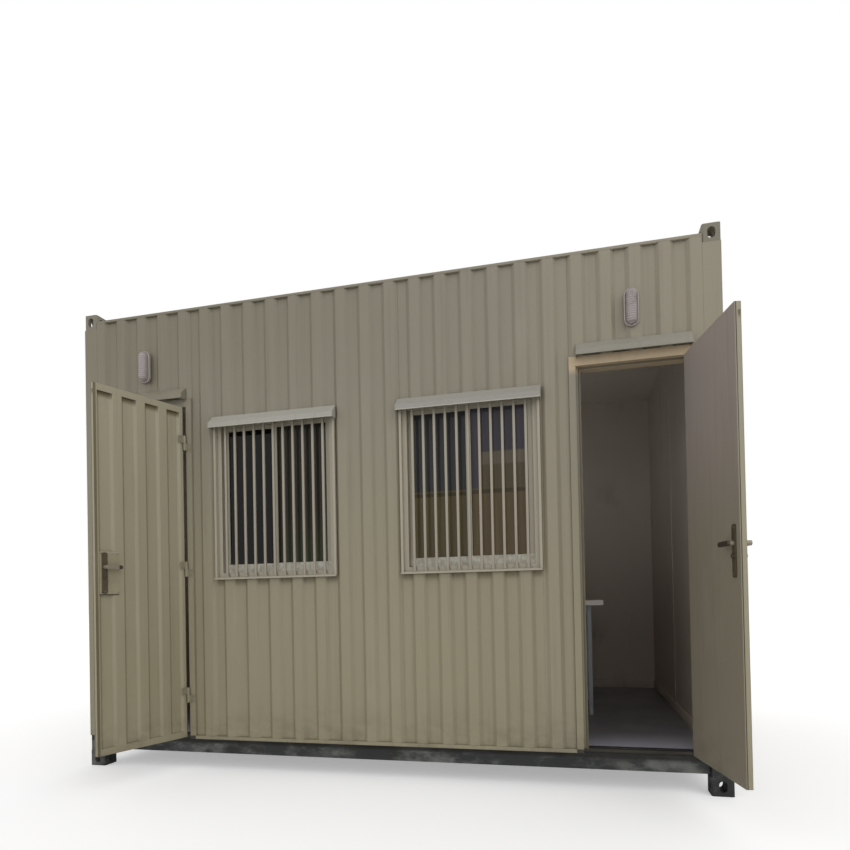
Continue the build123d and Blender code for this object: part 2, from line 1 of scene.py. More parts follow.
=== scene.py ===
"""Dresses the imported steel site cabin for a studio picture.

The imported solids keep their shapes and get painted, lined and glazed finishes. Window bars, lamp
rims, gaskets, fixings and trims are added here, each riding on the body that carries it.
Units are metres, in the part's own frame: +X along the front wall, the front faces -Y, +Z is up.
"""
import json
from math import cos, pi, radians, sin

import bmesh
import bpy
from mathutils import Matrix, Vector


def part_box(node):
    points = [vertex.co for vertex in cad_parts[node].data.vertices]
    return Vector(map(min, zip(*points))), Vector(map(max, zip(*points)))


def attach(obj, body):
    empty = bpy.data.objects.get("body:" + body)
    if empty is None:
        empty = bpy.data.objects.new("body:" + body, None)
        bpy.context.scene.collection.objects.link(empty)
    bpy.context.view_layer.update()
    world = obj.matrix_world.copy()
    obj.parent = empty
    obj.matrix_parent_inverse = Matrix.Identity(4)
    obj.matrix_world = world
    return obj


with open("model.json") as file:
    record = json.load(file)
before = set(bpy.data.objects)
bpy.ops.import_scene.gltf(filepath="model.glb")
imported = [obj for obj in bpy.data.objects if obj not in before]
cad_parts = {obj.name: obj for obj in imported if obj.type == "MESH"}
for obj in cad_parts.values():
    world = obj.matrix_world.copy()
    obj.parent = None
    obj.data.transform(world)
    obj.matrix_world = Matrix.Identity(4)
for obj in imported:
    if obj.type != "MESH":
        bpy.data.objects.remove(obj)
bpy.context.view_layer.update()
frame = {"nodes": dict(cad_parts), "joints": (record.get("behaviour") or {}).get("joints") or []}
joints = {joint["name"]: joint for joint in frame["joints"]}
SIDES = ("left", "right")
WINDOWS = (1, 2)

# -------------------------------------------------- camera
LENS = 26.215
SENSOR_WIDTH = 36.0
VIEW_DEPTH = 200.0
FRAME_RISE = 0.1975
CAMERA_PLACE = Vector((1.139, -4.590, 1.016))
CAMERA_TURN = radians(13.519)
CAMERA_RISE = radians(0.658)
CAMERA_ROLL = radians(1.144)

camera = bpy.data.objects.new("camera", bpy.data.cameras.new("camera"))
camera.data.lens = LENS
camera.data.sensor_width = SENSOR_WIDTH
camera.data.shift_y = FRAME_RISE
camera.data.clip_end = VIEW_DEPTH
camera.matrix_world = (
    Matrix.Translation(CAMERA_PLACE)
    @ Matrix.Rotation(CAMERA_TURN, 4, "Z")
    @ Matrix.Rotation(CAMERA_RISE, 4, "X")
    @ Matrix.Rotation(CAMERA_ROLL, 4, "Y")
    @ Matrix.Rotation(pi / 2, 4, "X")
)
bpy.context.scene.collection.objects.link(camera)
bpy.context.scene.camera = camera


# -------------------------------------------------- places taken from the frame
def leaf_place(side):
    """Placement on a door's hinge axis: X runs to the free edge, Y out of the outer face, Z up."""
    hinge = joints[f"{side}_door_hinge"]["pos_m"]
    outward = -Vector(joints[f"{side}_lever_turn"]["axis"])
    along = Vector((outward.y, -outward.x, 0.0))
    axes = Matrix((along, outward, (0.0, 0.0, 1.0))).transposed().to_4x4()
    return Matrix.Translation((hinge[0], hinge[1], 0.0)) @ axes


def local_box(node, place):
    """Low and high corners of a node, measured in a placement's own axes."""
    item = frame["nodes"][node]
    points = [place.inverted() @ item.matrix_world @ vertex.co for vertex in item.data.vertices]
    return (Vector([min(point[axis] for point in points) for axis in range(3)]),
            Vector([max(point[axis] for point in points) for axis in range(3)]))


leaf_places = {side: leaf_place(side) for side in SIDES}
leaf_boxes = {side: local_box(f"{side}_door_leaf", leaf_places[side]) for side in SIDES}
lock_boxes = {side: local_box(f"{side}_door_lock", leaf_places[side]) for side in SIDES}
lever_spots = {side: leaf_places[side].inverted() @ Vector(joints[f"{side}_lever_turn"]["pos_m"])
               for side in SIDES}
window_boxes = {number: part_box(f"window_{number}_frame") for number in WINDOWS}
first_middle, second_middle = ((low.x + high.x) / 2 for low, high in window_boxes.values())
glass_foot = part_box("window_1_glass")[0].z
door_head = leaf_boxes["left"][1].z
wall_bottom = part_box("wall_foot_strips")[0].z
wall_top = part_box("top_side_rails")[1].z
wall_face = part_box("front_wall_below_windows")[0].y
pier_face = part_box("front_wall_piers")[0].y
lining_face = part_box("front_lining_piers")[1].y
base_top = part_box("base_side_rails")[1].z
floor_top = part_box("floor_board")[1].z


# -------------------------------------------------- colours
def srgb(red, green, blue):
    """Linear colour from 0-255 screen values."""
    def linear(value):
        value /= 255
        return value / 12.92 if value <= 0.04045 else ((value + 0.055) / 1.055) ** 2.4
    return (linear(red), linear(green), linear(blue), 1.0)


DIRT = srgb(84, 76, 62)
DARK_DIRT = srgb(38, 37, 32)
# dark brown for real seams, and also painted shade in creases and under the lock boxes
SEAM_DIRT_AND_SHADE = srgb(58, 52, 40)
# painted light: the daylight that falls on the floor inside the doors
DOORWAY_DAYLIGHT = srgb(186, 184, 198)
GLASS_DUST = srgb(120, 116, 104)
# near-black: painted shadow on the base frame, and the dark band on the door sills
NEAR_BLACK = srgb(30, 28, 25)
RUST = srgb(104, 66, 40)
# chalky paint, and also a painted highlight on the lock boxes' top edges
CHALK_AND_HIGHLIGHT = srgb(168, 163, 146)
EDGE_SHADOW = srgb(96, 86, 58)
WALL = srgb(140, 134, 118)
# painted light: the wall paler and warmer towards the ground, as if lit from below
BOUNCE_LIT_FOOT = srgb(150, 142, 117)
# painted shade for the wall's upper left, and painted light for the wall by the right door
LEFT_SHADED_WALL = srgb(127, 121, 102)
RIGHT_LIT_WALL = srgb(152, 144, 125)
# painted light for the head of the right doorway, under its canopy
LIT_DOOR_HEAD = srgb(190, 170, 140)
DULL_CANOPY = srgb(153, 150, 142)
SASH_FOOT = srgb(196, 194, 182)
INNER_SHEET_TOP = srgb(150, 140, 133)
INNER_SHEET_FOOT = srgb(134, 126, 110)
ESCUTCHEON = srgb(96, 87, 69)
BRASS = srgb(98, 90, 72)
DARK_METAL = srgb(66, 57, 46)


# -------------------------------------------------- finishes
class Finish:
    """One node material, with short calls for the textures that its colour and relief need."""

    def __init__(self, name, colour, roughness, metallic=0.0):
        self.material = bpy.data.materials.new(name)
        self.material.use_nodes = True
        self.tree = self.material.node_tree
        self.shader = self.tree.nodes["Principled BSDF"]
        self.shader.inputs["Metallic"].default_value = metallic
        self.shader.inputs["Roughness"].default_value = roughness
        self.spot = self.add("ShaderNodeTexCoord").outputs["Object"]
        self.colour = colour

    def add(self, kind, **settings):
        node = self.tree.nodes.new(kind)
        for key, value in settings.items():
            setattr(node, key, value)
        return node

    def feed(self, socket, value):
        """Link an output to a socket, or set the socket to a plain value."""
        if isinstance(value, bpy.types.NodeSocket):
            self.tree.links.new(value, socket)
        else:
            socket.default_value = value

    def noise(self, scale, stretch=(1.0, 1.0, 1.0), detail=4.0, roughness=0.55):
        """Soft random pattern; a larger scale makes it finer, and a small stretch draws it out."""
        mapping = self.add("ShaderNodeMapping")
        self.feed(mapping.inputs["Vector"], self.spot)
        mapping.inputs["Scale"].default_value = stretch
        texture = self.add("ShaderNodeTexNoise")
        self.feed(texture.inputs["Vector"], mapping.outputs["Vector"])
        texture.inputs["Scale"].default_value = scale
        texture.inputs["Detail"].default_value = detail
        texture.inputs["Roughness"].default_value = roughness
        return texture.outputs["Fac"]

    def ramp(self, value, low, high, out_low=0.0, out_high=1.0):
        """Smooth step from out_low to out_high while a value goes from low to high."""
        node = self.add("ShaderNodeMapRange", interpolation_type="SMOOTHSTEP")
        for socket, item in zip(node.inputs, (value, low, high, out_low, out_high)):
            self.feed(socket, item)
        return node.outputs["Result"]

    def maths(self, operation, first, second):
        node = self.add("ShaderNodeMath", operation=operation, use_clamp=True)
        self.feed(node.inputs[0], first)
        self.feed(node.inputs[1], second)
        return node.outputs["Value"]

    def both(self, first, second):
        """The overlap of two masks, or one mask at a lower strength."""
        return self.maths("MULTIPLY", first, second)

    def axis(self, letter):
        node = self.add("ShaderNodeSeparateXYZ")
        self.feed(node.inputs["Vector"], self.spot)
        return node.outputs[letter]

    def along(self, origin, direction):
        """Distance from a point, measured along a fixed direction."""
        shift = self.add("ShaderNodeVectorMath", operation="SUBTRACT")
        self.feed(shift.inputs[0], self.spot)
        shift.inputs[1].default_value = origin
        node = self.add("ShaderNodeVectorMath", operation="DOT_PRODUCT")
        self.feed(node.inputs[0], shift.outputs["Vector"])
        node.inputs[1].default_value = direction
        return node.outputs["Value"]

    def strip(self, value, low, high, soft=0.0008):
        """1 where a value lies between two limits, with soft ends."""
        return self.both(self.ramp(value, low - soft, low + soft),
                         self.ramp(value, high + soft, high - soft))

    def crease_shade(self, reach, strength):
        """Painted shade: rises to strength in corners and under edges that are closer together than
        reach.
        """
        node = self.add("ShaderNodeAmbientOcclusion", samples=6)
        node.inputs["Distance"].default_value = reach
        return self.ramp(node.outputs["AO"], 0.62, 0.25, 0.0, strength)

    def blend(self, factor, colour):
        """Lay another colour over the finish where factor is 1."""
        node = self.add("ShaderNodeMix", data_type="RGBA")
        self.feed(node.inputs["Factor"], factor)
        self.feed(node.inputs[6], self.colour)
        self.feed(node.inputs[7], colour)
        self.colour = node.outputs[2]

    def patches(self, colour, strength, limits, scale, **grain):
        """Lay a colour over the finish in patches, where a noise rises through two limits."""
        self.blend(self.ramp(self.noise(scale, **grain), *limits, 0.0, strength), colour)

    def shade(self, factor, low, high):
        """Darken or lighten the finish by a grey level that follows factor."""
        level = self.ramp(factor, 0.0, 1.0, low, high)
        grey = self.add("ShaderNodeCombineColor")
        for socket in grey.inputs:
            self.feed(socket, level)
        node = self.add("ShaderNodeMix", data_type="RGBA", blend_type="MULTIPLY")
        node.inputs["Factor"].default_value = 1.0
        self.feed(node.inputs[6], self.colour)
        self.feed(node.inputs[7], grey.outputs["Color"])
        self.colour = node.outputs[2]

    def relief(self, layers, edge=0.0):
        """Bump from (height, depth) layers, over edges that are softened by a small radius."""
        normal = None
        if edge:
            bevel = self.add("ShaderNodeBevel", samples=4)
            bevel.inputs["Radius"].default_value = edge
            normal = bevel.outputs["Normal"]
        for height, depth in layers:
            bump = self.add("ShaderNodeBump")
            bump.inputs["Strength"].default_value = 1.0
            bump.inputs["Distance"].default_value = depth
            self.feed(bump.inputs["Height"], height)
            if normal:
                self.feed(bump.inputs["Normal"], normal)
            normal = bump.outputs["Normal"]
        self.feed(self.shader.inputs["Normal"], normal)

    def done(self, roughness=None):
        """Connect the colour and the roughness, and hand over the material."""
        self.feed(self.shader.inputs["Base Color"], self.colour)
        if roughness:
            self.feed(self.shader.inputs["Roughness"], roughness)
        return self.material


FADE_MARGIN = 0.35
CREASE_REACH = 0.016
SPLASH_RISE = 0.3
SPLASH_DROP = 0.02
PLAIN_BEND = 0.0016
SHEET_BEND = 0.006


def painted_steel(name, colour, roughness=0.5, streaks=0.5, grime=0.35, rust=0.0, low_grime=True,
                  bend=PLAIN_BEND, foot_colour=None, overlay=None):
    """Sprayed paint on sheet steel: chalky patches, rain streaks, splashed dirt near the ground.

    bend is the radius that rounds the edges, foot_colour the colour blended in towards the foot of
    the wall, and overlay adds to the base coat.
    """
    finish = Finish(name, colour, roughness)
    # blends foot_colour in towards the foot; on the walls and door frames this is painted light
    # from the ground
    if foot_colour:
        footward = finish.ramp(finish.axis("Z"), wall_top - FADE_MARGIN, wall_bottom + FADE_MARGIN)
        finish.blend(footward, foot_colour)
    if overlay:
        overlay(finish)
    tone = finish.noise(0.9, (1.0, 1.0, 0.6), detail=5.0)
    finish.shade(tone, 0.94, 1.05)
    finish.shade(finish.noise(55.0, detail=3.0), 0.975, 1.02)
    finish.patches(CHALK_AND_HIGHLIGHT, 0.22, (0.56, 0.78), 2.6, stretch=(1.0, 1.0, 0.35), detail=6.0)
    finish.patches(DIRT, 0.32 * streaks, (0.52, 0.74), 5.0, stretch=(6.0, 6.0, 0.16), detail=6.0,
                   roughness=0.62)
    # painted shade: darker in corners and under close edges, found by ambient occlusion
    finish.blend(finish.crease_shade(CREASE_REACH, 0.45), SEAM_DIRT_AND_SHADE)
    finish.patches(DARK_DIRT, 0.35 * grime, (0.68, 0.76), 190.0, detail=2.0)
    if low_grime:
        splashes = finish.noise(7.0, (1.0, 1.0, 1.6), detail=6.0, roughness=0.65)
        reach = finish.ramp(finish.axis("Z"), wall_bottom + SPLASH_RISE, wall_bottom - SPLASH_DROP)
        finish.blend(finish.both(reach, finish.ramp(splashes, 0.36, 0.72, 0.0, grime)), DIRT)
    if rust:
        finish.patches(RUST, rust, (0.6, 0.72), 9.0, detail=8.0, roughness=0.7)
    peel = finish.noise(330.0, detail=2.0)
    dents = finish.noise(3.2, (1.0, 1.0, 0.7), detail=2.0)
    finish.relief([(dents, 0.0016), (peel, 0.00007)], edge=bend)
    return finish.done(finish.ramp(tone, 0.3, 0.7, roughness - 0.07, roughness + 0.1))


BASE_SHADOW = (0.036, 0.02)


def weathered_base(name, colour, pale_colour):
    """Dull primer of the base frame: mottled and rusty, with painted shadow under the wall's lower
    edge.
    """
    finish = Finish(name, colour, 0.75)
    mottle = finish.noise(8.0, (1.0, 1.0, 1.4), detail=8.0, roughness=0.66)
    finish.patches(pale_colour, 0.9, (0.45, 0.68), 4.5, stretch=(1.0, 1.0, 2.0), detail=5.0,
                   roughness=0.6)
    finish.shade(mottle, 0.5, 1.5)
    finish.patches(RUST, 0.6, (0.6, 0.7), 14.0, detail=9.0, roughness=0.72)
    finish.patches(DARK_DIRT, 0.5, (0.5, 0.75), 3.0, detail=5.0)
    # painted shadow: the top of the base frame darkens under the overhanging wall
    shadow = finish.ramp(finish.axis("Z"), *(base_top - drop for drop in BASE_SHADOW), 0.0, 0.85)
    finish.blend(shadow, NEAR_BLACK)
    grain = finish.noise(120.0, detail=5.0)
    finish.relief([(mottle, 0.0012), (grain, 0.0003)], edge=0.002)
    return finish.done(finish.ramp(mottle, 0.3, 0.7, 0.62, 0.9))


def bare_metal(name, colour, roughness=0.34, wear=0.4, metallic=0.85, overlay=None):
    """Satin metal of levers, hinge pins and screws, with fine brushing and finger wear."""
    finish = Finish(name, colour, roughness, metallic=metallic)
    if overlay:
        overlay(finish)
    smear = finish.noise(16.0, detail=5.0)
    finish.shade(smear, 0.8, 1.12)
    finish.patches(DARK_DIRT, wear, (0.55, 0.75), 45.0, detail=6.0)
    brushed = finish.noise(60.0, (1.0, 1.0, 18.0), detail=3.0)
    finish.relief([(brushed, 0.00006)], edge=0.0008)
    return finish.done(finish.ramp(smear, 0.3, 0.7, roughness - 0.08, roughness + 0.16))


BOARD_FADE = (2.1, 0.6)


def board(name, colour, roughness, stains=0.25, foot_colour=None):
    """Smooth painted or laminated board: faint grain, scuffs, hand marks, and painted shade at its
    foot.
    """
    finish = Finish(name, colour, roughness)
    if foot_colour:
        # painted shade: darker towards the foot
        finish.blend(finish.ramp(finish.axis("Z"), *BOARD_FADE), foot_colour)
    cloud = finish.noise(1.7, detail=5.0)
    finish.shade(cloud, 0.92, 1.06)
    finish.patches(DIRT, stains, (0.55, 0.8), 6.0, stretch=(1.0, 1.0, 0.4), detail=7.0)
    grain = finish.noise(90.0, (1.0, 1.0, 0.12), detail=3.0)
    finish.relief([(grain, 0.00012)], edge=0.001)
    return finish.done(finish.ramp(cloud, 0.3, 0.7, roughness - 0.06, roughness + 0.1))


def plastic(name, colour, roughness=0.4, dust=0.3):
    """Moulded plastic or rubber with settled dust and a fine moulding texture."""
    finish = Finish(name, colour, roughness)
    finish.shade(finish.noise(20.0, detail=4.0), 0.9, 1.06)
    finish.patches(DIRT, dust, (0.52, 0.78), 34.0, detail=6.0)
    finish.relief([(finish.noise(420.0, detail=2.0), 0.00005)], edge=0.0008)
    return finish.done()


GREEN_REFLECTION = (1.62, 1.3)
BROWN_TOP = 1.63
BLOCK_TOP = BROWN_TOP + 0.2
BLOCK_LEDGE = BROWN_TOP + 0.13


def window_pane(name):
    """Dark tinted glass with a dusty film, and brown and grey painted reflections that differ pane
    by pane.
    """
    finish = Finish(name, srgb(20, 19, 18), 0.05)
    finish.shader.inputs["IOR"].default_value = 1.45
    finish.shader.inputs["Specular IOR Level"].default_value = 0.16
    finish.shader.inputs["Transmission Weight"].default_value = 0.25
    height = finish.axis("Z")
    along = finish.axis("X")

    # the first window: a grey painted reflection in its right pane, green at the foot
    finish.blend(finish.strip(along, first_middle, 0.0, 0.006), srgb(54, 51, 43))
    green = finish.both(finish.strip(along, first_middle + 0.04, 0.0, 0.03),
                        finish.ramp(height, *GREEN_REFLECTION, 0.0, 0.8))
    finish.blend(green, srgb(62, 66, 48))

    # the second window: painted reflections, grey above and brown below a level line, bluer and
    # redder in its right pane
    second = finish.ramp(along, -0.01, 0.01)
    finish.blend(second, srgb(66, 65, 66))
    second_right = finish.ramp(along, second_middle + 0.01, second_middle + 0.03)
    finish.blend(finish.both(second_right, 0.8), srgb(78, 74, 83))
    brown = finish.both(second, finish.ramp(height, BROWN_TOP + 0.004, BROWN_TOP - 0.004))
    finish.blend(brown, srgb(98, 89, 62))
    beyond = finish.ramp(along, second_middle + 0.06, second_middle + 0.08)
    block = finish.both(beyond, finish.strip(height, BROWN_TOP - 0.01, BLOCK_TOP, 0.008))
    finish.blend(block, srgb(98, 88, 66))
    ledge = finish.both(beyond, finish.strip(height, BLOCK_LEDGE, BLOCK_TOP, 0.008))
    finish.blend(finish.both(ledge, 0.7), srgb(120, 113, 98))
    red_brown = finish.both(second_right, finish.ramp(height, BROWN_TOP - 0.01, BROWN_TOP - 0.02))
    finish.blend(finish.both(red_brown, 0.7), srgb(112, 94, 68))
    dark_line = finish.strip(height, BROWN_TOP - 0.03, BROWN_TOP - 0.008, 0.004)
    finish.blend(finish.both(finish.both(second, dark_line), 0.6), srgb(52, 46, 30))

    # painted reflections: darker and lighter vertical streaks over the panes
    finish.shade(finish.noise(8.0, (6.0, 6.0, 0.14), detail=5.0), 0.62, 1.36)
    film = finish.noise(5.0, (1.0, 1.0, 0.5), detail=7.0, roughness=0.68)
    finish.blend(finish.ramp(film, 0.55, 0.85, 0.0, 0.08), GLASS_DUST)
    finish.relief([(finish.noise(2.4, detail=1.0), 0.0005)])
    return finish.done(finish.ramp(film, 0.4, 0.75, 0.04, 0.14))


def lamp_cover(name, colour):
    """Frosted, ribbed cover of a bulkhead lamp, dusty and greyed with age, with painted shading on
    its ribs.
    """
    finish = Finish(name, colour, 0.3)
    finish.shader.inputs["Transmission Weight"].default_value = 0.25
    finish.shader.inputs["Specular IOR Level"].default_value = 0.35
    ribbing = finish.add("ShaderNodeTexWave", bands_direction="Z", wave_profile="SIN")
    finish.feed(ribbing.inputs["Vector"], finish.spot)
    ribbing.inputs["Scale"].default_value = 26.0
    # painted shading: darker in the ribs' hollows, lighter on their crests
    finish.shade(ribbing.outputs["Fac"], 0.78, 1.08)
    finish.patches(DIRT, 0.35, (0.5, 0.8), 22.0, detail=6.0)
    finish.relief([(ribbing.outputs["Fac"], 0.0016)], edge=0.002)
    return finish.done()


FLOOR_DAYLIGHT_REACH = (-0.7, -1.15)


def floor_sheet(name, colour):
    """Vinyl floor sheet: satin and scuffed, with painted daylight, paler and bluer, near the doors.
    """
    finish = Finish(name, colour, 0.34)
    finish.shade(finish.noise(1.4, detail=6.0), 0.9, 1.06)
    finish.shade(finish.noise(140.0, detail=2.0), 0.92, 1.08)
    # painted light: paler, bluer floor near the doors, where daylight falls in
    finish.blend(finish.ramp(finish.axis("Y"), *FLOOR_DAYLIGHT_REACH, 0.0, 0.9), DOORWAY_DAYLIGHT)
    scuffs = finish.noise(3.0, detail=5.0)
    finish.blend(finish.ramp(scuffs, 0.5, 0.8, 0.0, 0.25), DIRT)
    finish.relief([(finish.noise(260.0, detail=2.0), 0.0001)])
    return finish.done(finish.ramp(scuffs, 0.3, 0.7, 0.3, 0.5))


# -------------------------------------------------- marks on single pieces
RIGHT_HALF = (-0.1, 0.1)
LEAF_BAND = 0.038
LEAF_WAVE_DEPTH = 0.012
LEAF_SEAM = (0.004, 0.0085)
LEAF_EDGE_SHADE = 0.015
LEAF_SHADOW_DROP = 0.04
INNER_SHEET_FADE = (2.0, 1.1)
LOCK_BOX_DEPTH = 0.004
ESCUTCHEON_DEPTH = 0.007
WORN_REACH = 0.066
INNER_HANDLE = 0.024
WALL_SHADE_DROP = (1.0, 0.1)
WALL_SHADE_REACH = (1.2, -1.7)
WALL_LIGHT_REACH = (0.75, 1.15)
WINDOW_SHADOW_DROP = 0.05
HEAD_LIGHT_DROP = 0.05


def leaf_overlay(side):
    """Greyer inner sheet, a dark seam along the free edge, and painted shadow on the outer face
    by the free edge and at the top of the waves.
    """
    place, (low, high) = leaf_places[side], leaf_boxes[side]
    wave_top = high.z - LEAF_BAND

    def overlay(finish):
        depth = finish.along(place.translation, place.col[1].xyz)
        reach = finish.along(place.translation, place.col[0].xyz)
        height = finish.axis("Z")
        inner = finish.ramp(depth, low.y + 0.0025, low.y + 0.0015)
        finish.blend(inner, INNER_SHEET_TOP)
        finish.blend(finish.both(inner, finish.ramp(height, *INNER_SHEET_FADE)), INNER_SHEET_FOOT)
        edge = finish.ramp(reach, high.x - 0.0016, high.x - 0.0008)
        seam = finish.strip(depth, *(low.y + level for level in LEAF_SEAM))
        finish.blend(finish.both(edge, seam), SEAM_DIRT_AND_SHADE)
        # painted shadow on the outer face along the free edge
        outer = finish.ramp(depth, high.y - 0.001, high.y - 0.0004)
        edge_shade = finish.ramp(reach, high.x - LEAF_EDGE_SHADE - 0.002, high.x - LEAF_EDGE_SHADE + 0.002, 0.0, 0.85)
        finish.blend(finish.both(outer, edge_shade), EDGE_SHADOW)
        # painted shadow at the top of each pressed wave, under the leaf's top band
        pressed = finish.strip(depth, high.y - LEAF_WAVE_DEPTH - 0.002, high.y - 0.002, 0.001)
        wave_top_shadow = finish.both(finish.ramp(height, wave_top - LEAF_SHADOW_DROP, wave_top - 0.008, 0.0, 0.95),
                           finish.ramp(height, wave_top + 0.004, wave_top + 0.002))
        finish.blend(finish.both(pressed, wave_top_shadow), EDGE_SHADOW)
    return overlay


def lock_overlay(side):
    """Dark escutcheons over the painted lock box, with a bare cylinder in each, a painted highlight
    on the box's top edge and painted shadow along its lower edge.
    """
    place, (low, high) = leaf_places[side], leaf_boxes[side]
    box_low, box_high = lock_boxes[side]
    box_face = high.y + LOCK_BOX_DEPTH

    def overlay(finish):
        depth = finish.along(place.translation, place.col[1].xyz)
        height = finish.axis("Z")
        plate = finish.maths("MAXIMUM", finish.ramp(depth, box_face + 0.0004, box_face + 0.001),
                             finish.ramp(depth, low.y + 0.001, low.y - 0.001))
        finish.blend(plate, ESCUTCHEON)
        finish.feed(finish.shader.inputs["Metallic"], finish.both(plate, 0.5))
        outer_face, inner_face = box_face + ESCUTCHEON_DEPTH, low.y - ESCUTCHEON_DEPTH
        cylinder = finish.maths("MAXIMUM",
                                finish.ramp(depth, outer_face + 0.0003, outer_face + 0.001),
                                finish.ramp(depth, inner_face - 0.0003, inner_face - 0.001))
        finish.blend(cylinder, BRASS)
        painted = finish.maths("SUBTRACT", 1.0, plate)
        # painted highlight along the lock box's top edge
        top_highlight = finish.ramp(height, box_high.z - 0.006, box_high.z - 0.004)
        finish.blend(finish.both(painted, top_highlight), CHALK_AND_HIGHLIGHT)
        # painted shadow along the lock box's lower edge
        low_shadow = finish.ramp(height, box_low.z + 0.005, box_low.z + 0.003)
        finish.blend(finish.both(painted, low_shadow), SEAM_DIRT_AND_SHADE)
    return overlay


def lever_overlay(side):
    """Worn dark end of the outer lever handle, and a dark handle inside."""
    place, low = leaf_places[side], leaf_boxes[side][0]
    worn_end = lever_spots[side].x - WORN_REACH
    handle = low.y - INNER_HANDLE

    def overlay(finish):
        reach = finish.along(place.translation, place.col[0].xyz)
        finish.blend(finish.ramp(reach, worn_end + 0.004, worn_end - 0.004, 0.0, 0.95), DARK_METAL)
        depth = finish.along(place.translation, place.col[1].xyz)
        finish.blend(finish.ramp(depth, handle + 0.002, handle - 0.002, 0.0, 0.9), DARK_METAL)
    return overlay


def sash_overlay(finish):
    """Chalky splash marks on the bottom rails of the sashes."""
    splashes = finish.noise(42.0, (1.0, 1.0, 0.7), detail=6.0, roughness=0.7)
    rail = finish.ramp(finish.axis("Z"), glass_foot + 0.001, glass_foot - 0.001)
    finish.blend(finish.both(rail, finish.ramp(splashes, 0.42, 0.58, 0.1, 1.0)), SASH_FOOT)


def wall_overlay(finish):
    """Painted shade high on the left, painted light by the right door, painted shadow under the
    windows.
    """
    along = finish.axis("X")
    height = finish.axis("Z")
    # painted shade: darker and yellower high on the left of the wall
    high_up = finish.ramp(height, *(wall_top - drop for drop in WALL_SHADE_DROP))
    finish.blend(finish.both(finish.ramp(along, *WALL_SHADE_REACH), high_up), LEFT_SHADED_WALL)
    # painted light: paler by the right door
    finish.blend(finish.ramp(along, *WALL_LIGHT_REACH, 0.0, 0.55), RIGHT_LIT_WALL)
    # painted shadow in the pressed hollows just under each window
    pressed = finish.strip(finish.axis("Y"), wall_face + 0.008, wall_face + 0.03, 0.004)
    for low, high in window_boxes.values():
        below = finish.both(finish.strip(along, low.x, high.x, 0.01),
                            finish.ramp(height, low.z - WINDOW_SHADOW_DROP, low.z - 0.008, 0.0, 0.6))
        under = finish.both(below, finish.ramp(height, low.z + 0.02, low.z))
        finish.blend(finish.both(pressed, under), EDGE_SHADOW)


def canopy_overlay(finish):
    """A duller coat on the canopy of the second window."""
    finish.blend(finish.ramp(finish.axis("X"), *RIGHT_HALF), DULL_CANOPY)


def doorway_overlay(finish):
    """Painted light at the head of the right doorway, paler and warmer, and a near-black band on
    both sills.
    """
    height = finish.axis("Z")
    right = finish.ramp(finish.axis("X"), *RIGHT_HALF)
    # painted light: paler, warmer colour at the head of the right doorway, under its canopy
    lit_head = finish.ramp(height, door_head - HEAD_LIGHT_DROP, door_head)
    finish.blend(finish.both(right, lit_head), LIT_DOOR_HEAD)
    finish.blend(finish.ramp(height, floor_top + 0.003, floor_top + 0.001, 0.0, 0.95), NEAR_BLACK)


# -------------------------------------------------- the cabin's materials
# the paler foot of the wall and the door frames is painted light bounced up from the ground
wall_paint = painted_steel("wall_paint", WALL, bend=SHEET_BEND, foot_colour=BOUNCE_LIT_FOOT,
                           overlay=wall_overlay)
doorway_paint = painted_steel("doorway_paint", WALL, foot_colour=BOUNCE_LIT_FOOT, overlay=doorway_overlay)
block_paint = painted_steel("block_paint", srgb(130, 124, 110), roughness=0.65, streaks=1.0,
                            grime=0.8, rust=0.3, low_grime=False)
leaf_paint = {side: painted_steel(f"{side}_leaf_paint", srgb(158, 151, 129), bend=SHEET_BEND,
                                  foot_colour=srgb(153, 145, 120), overlay=leaf_overlay(side))
              for side in SIDES}
frame_paint = painted_steel("frame_paint", srgb(168, 161, 143), roughness=0.42, streaks=0.35)
sash_paint = painted_steel("sash_paint", srgb(168, 161, 143), roughness=0.42, streaks=0.35,
                           overlay=sash_overlay)
bar_paint = painted_steel("bar_paint", srgb(162, 155, 139), roughness=0.4, streaks=0.3)
canopy_paint = painted_steel("canopy_paint", srgb(166, 164, 154), roughness=0.42, streaks=0.4,
                             low_grime=False, overlay=canopy_overlay)
right_canopy_paint = painted_steel("right_canopy_paint", srgb(146, 142, 130), roughness=0.42,
                                   streaks=0.4, low_grime=False)
# painted highlight: paler paint on the window canopies' rolled hems
hem_highlight_paint = painted_steel("hem_highlight_paint", srgb(186, 183, 172), roughness=0.42, low_grime=False)
roof_paint = painted_steel("roof_paint", srgb(132, 126, 110), roughness=0.6, bend=SHEET_BEND,
                           streaks=1.0, grime=0.8, rust=0.25, low_grime=False)
hinge_paint = painted_steel("hinge_paint", srgb(140, 133, 112), roughness=0.45, rust=0.2)
base_paint = weathered_base("base_paint", srgb(46, 49, 48), srgb(112, 114, 110))
joist_paint = weathered_base("joist_paint", srgb(52, 52, 50), srgb(70, 70, 66))
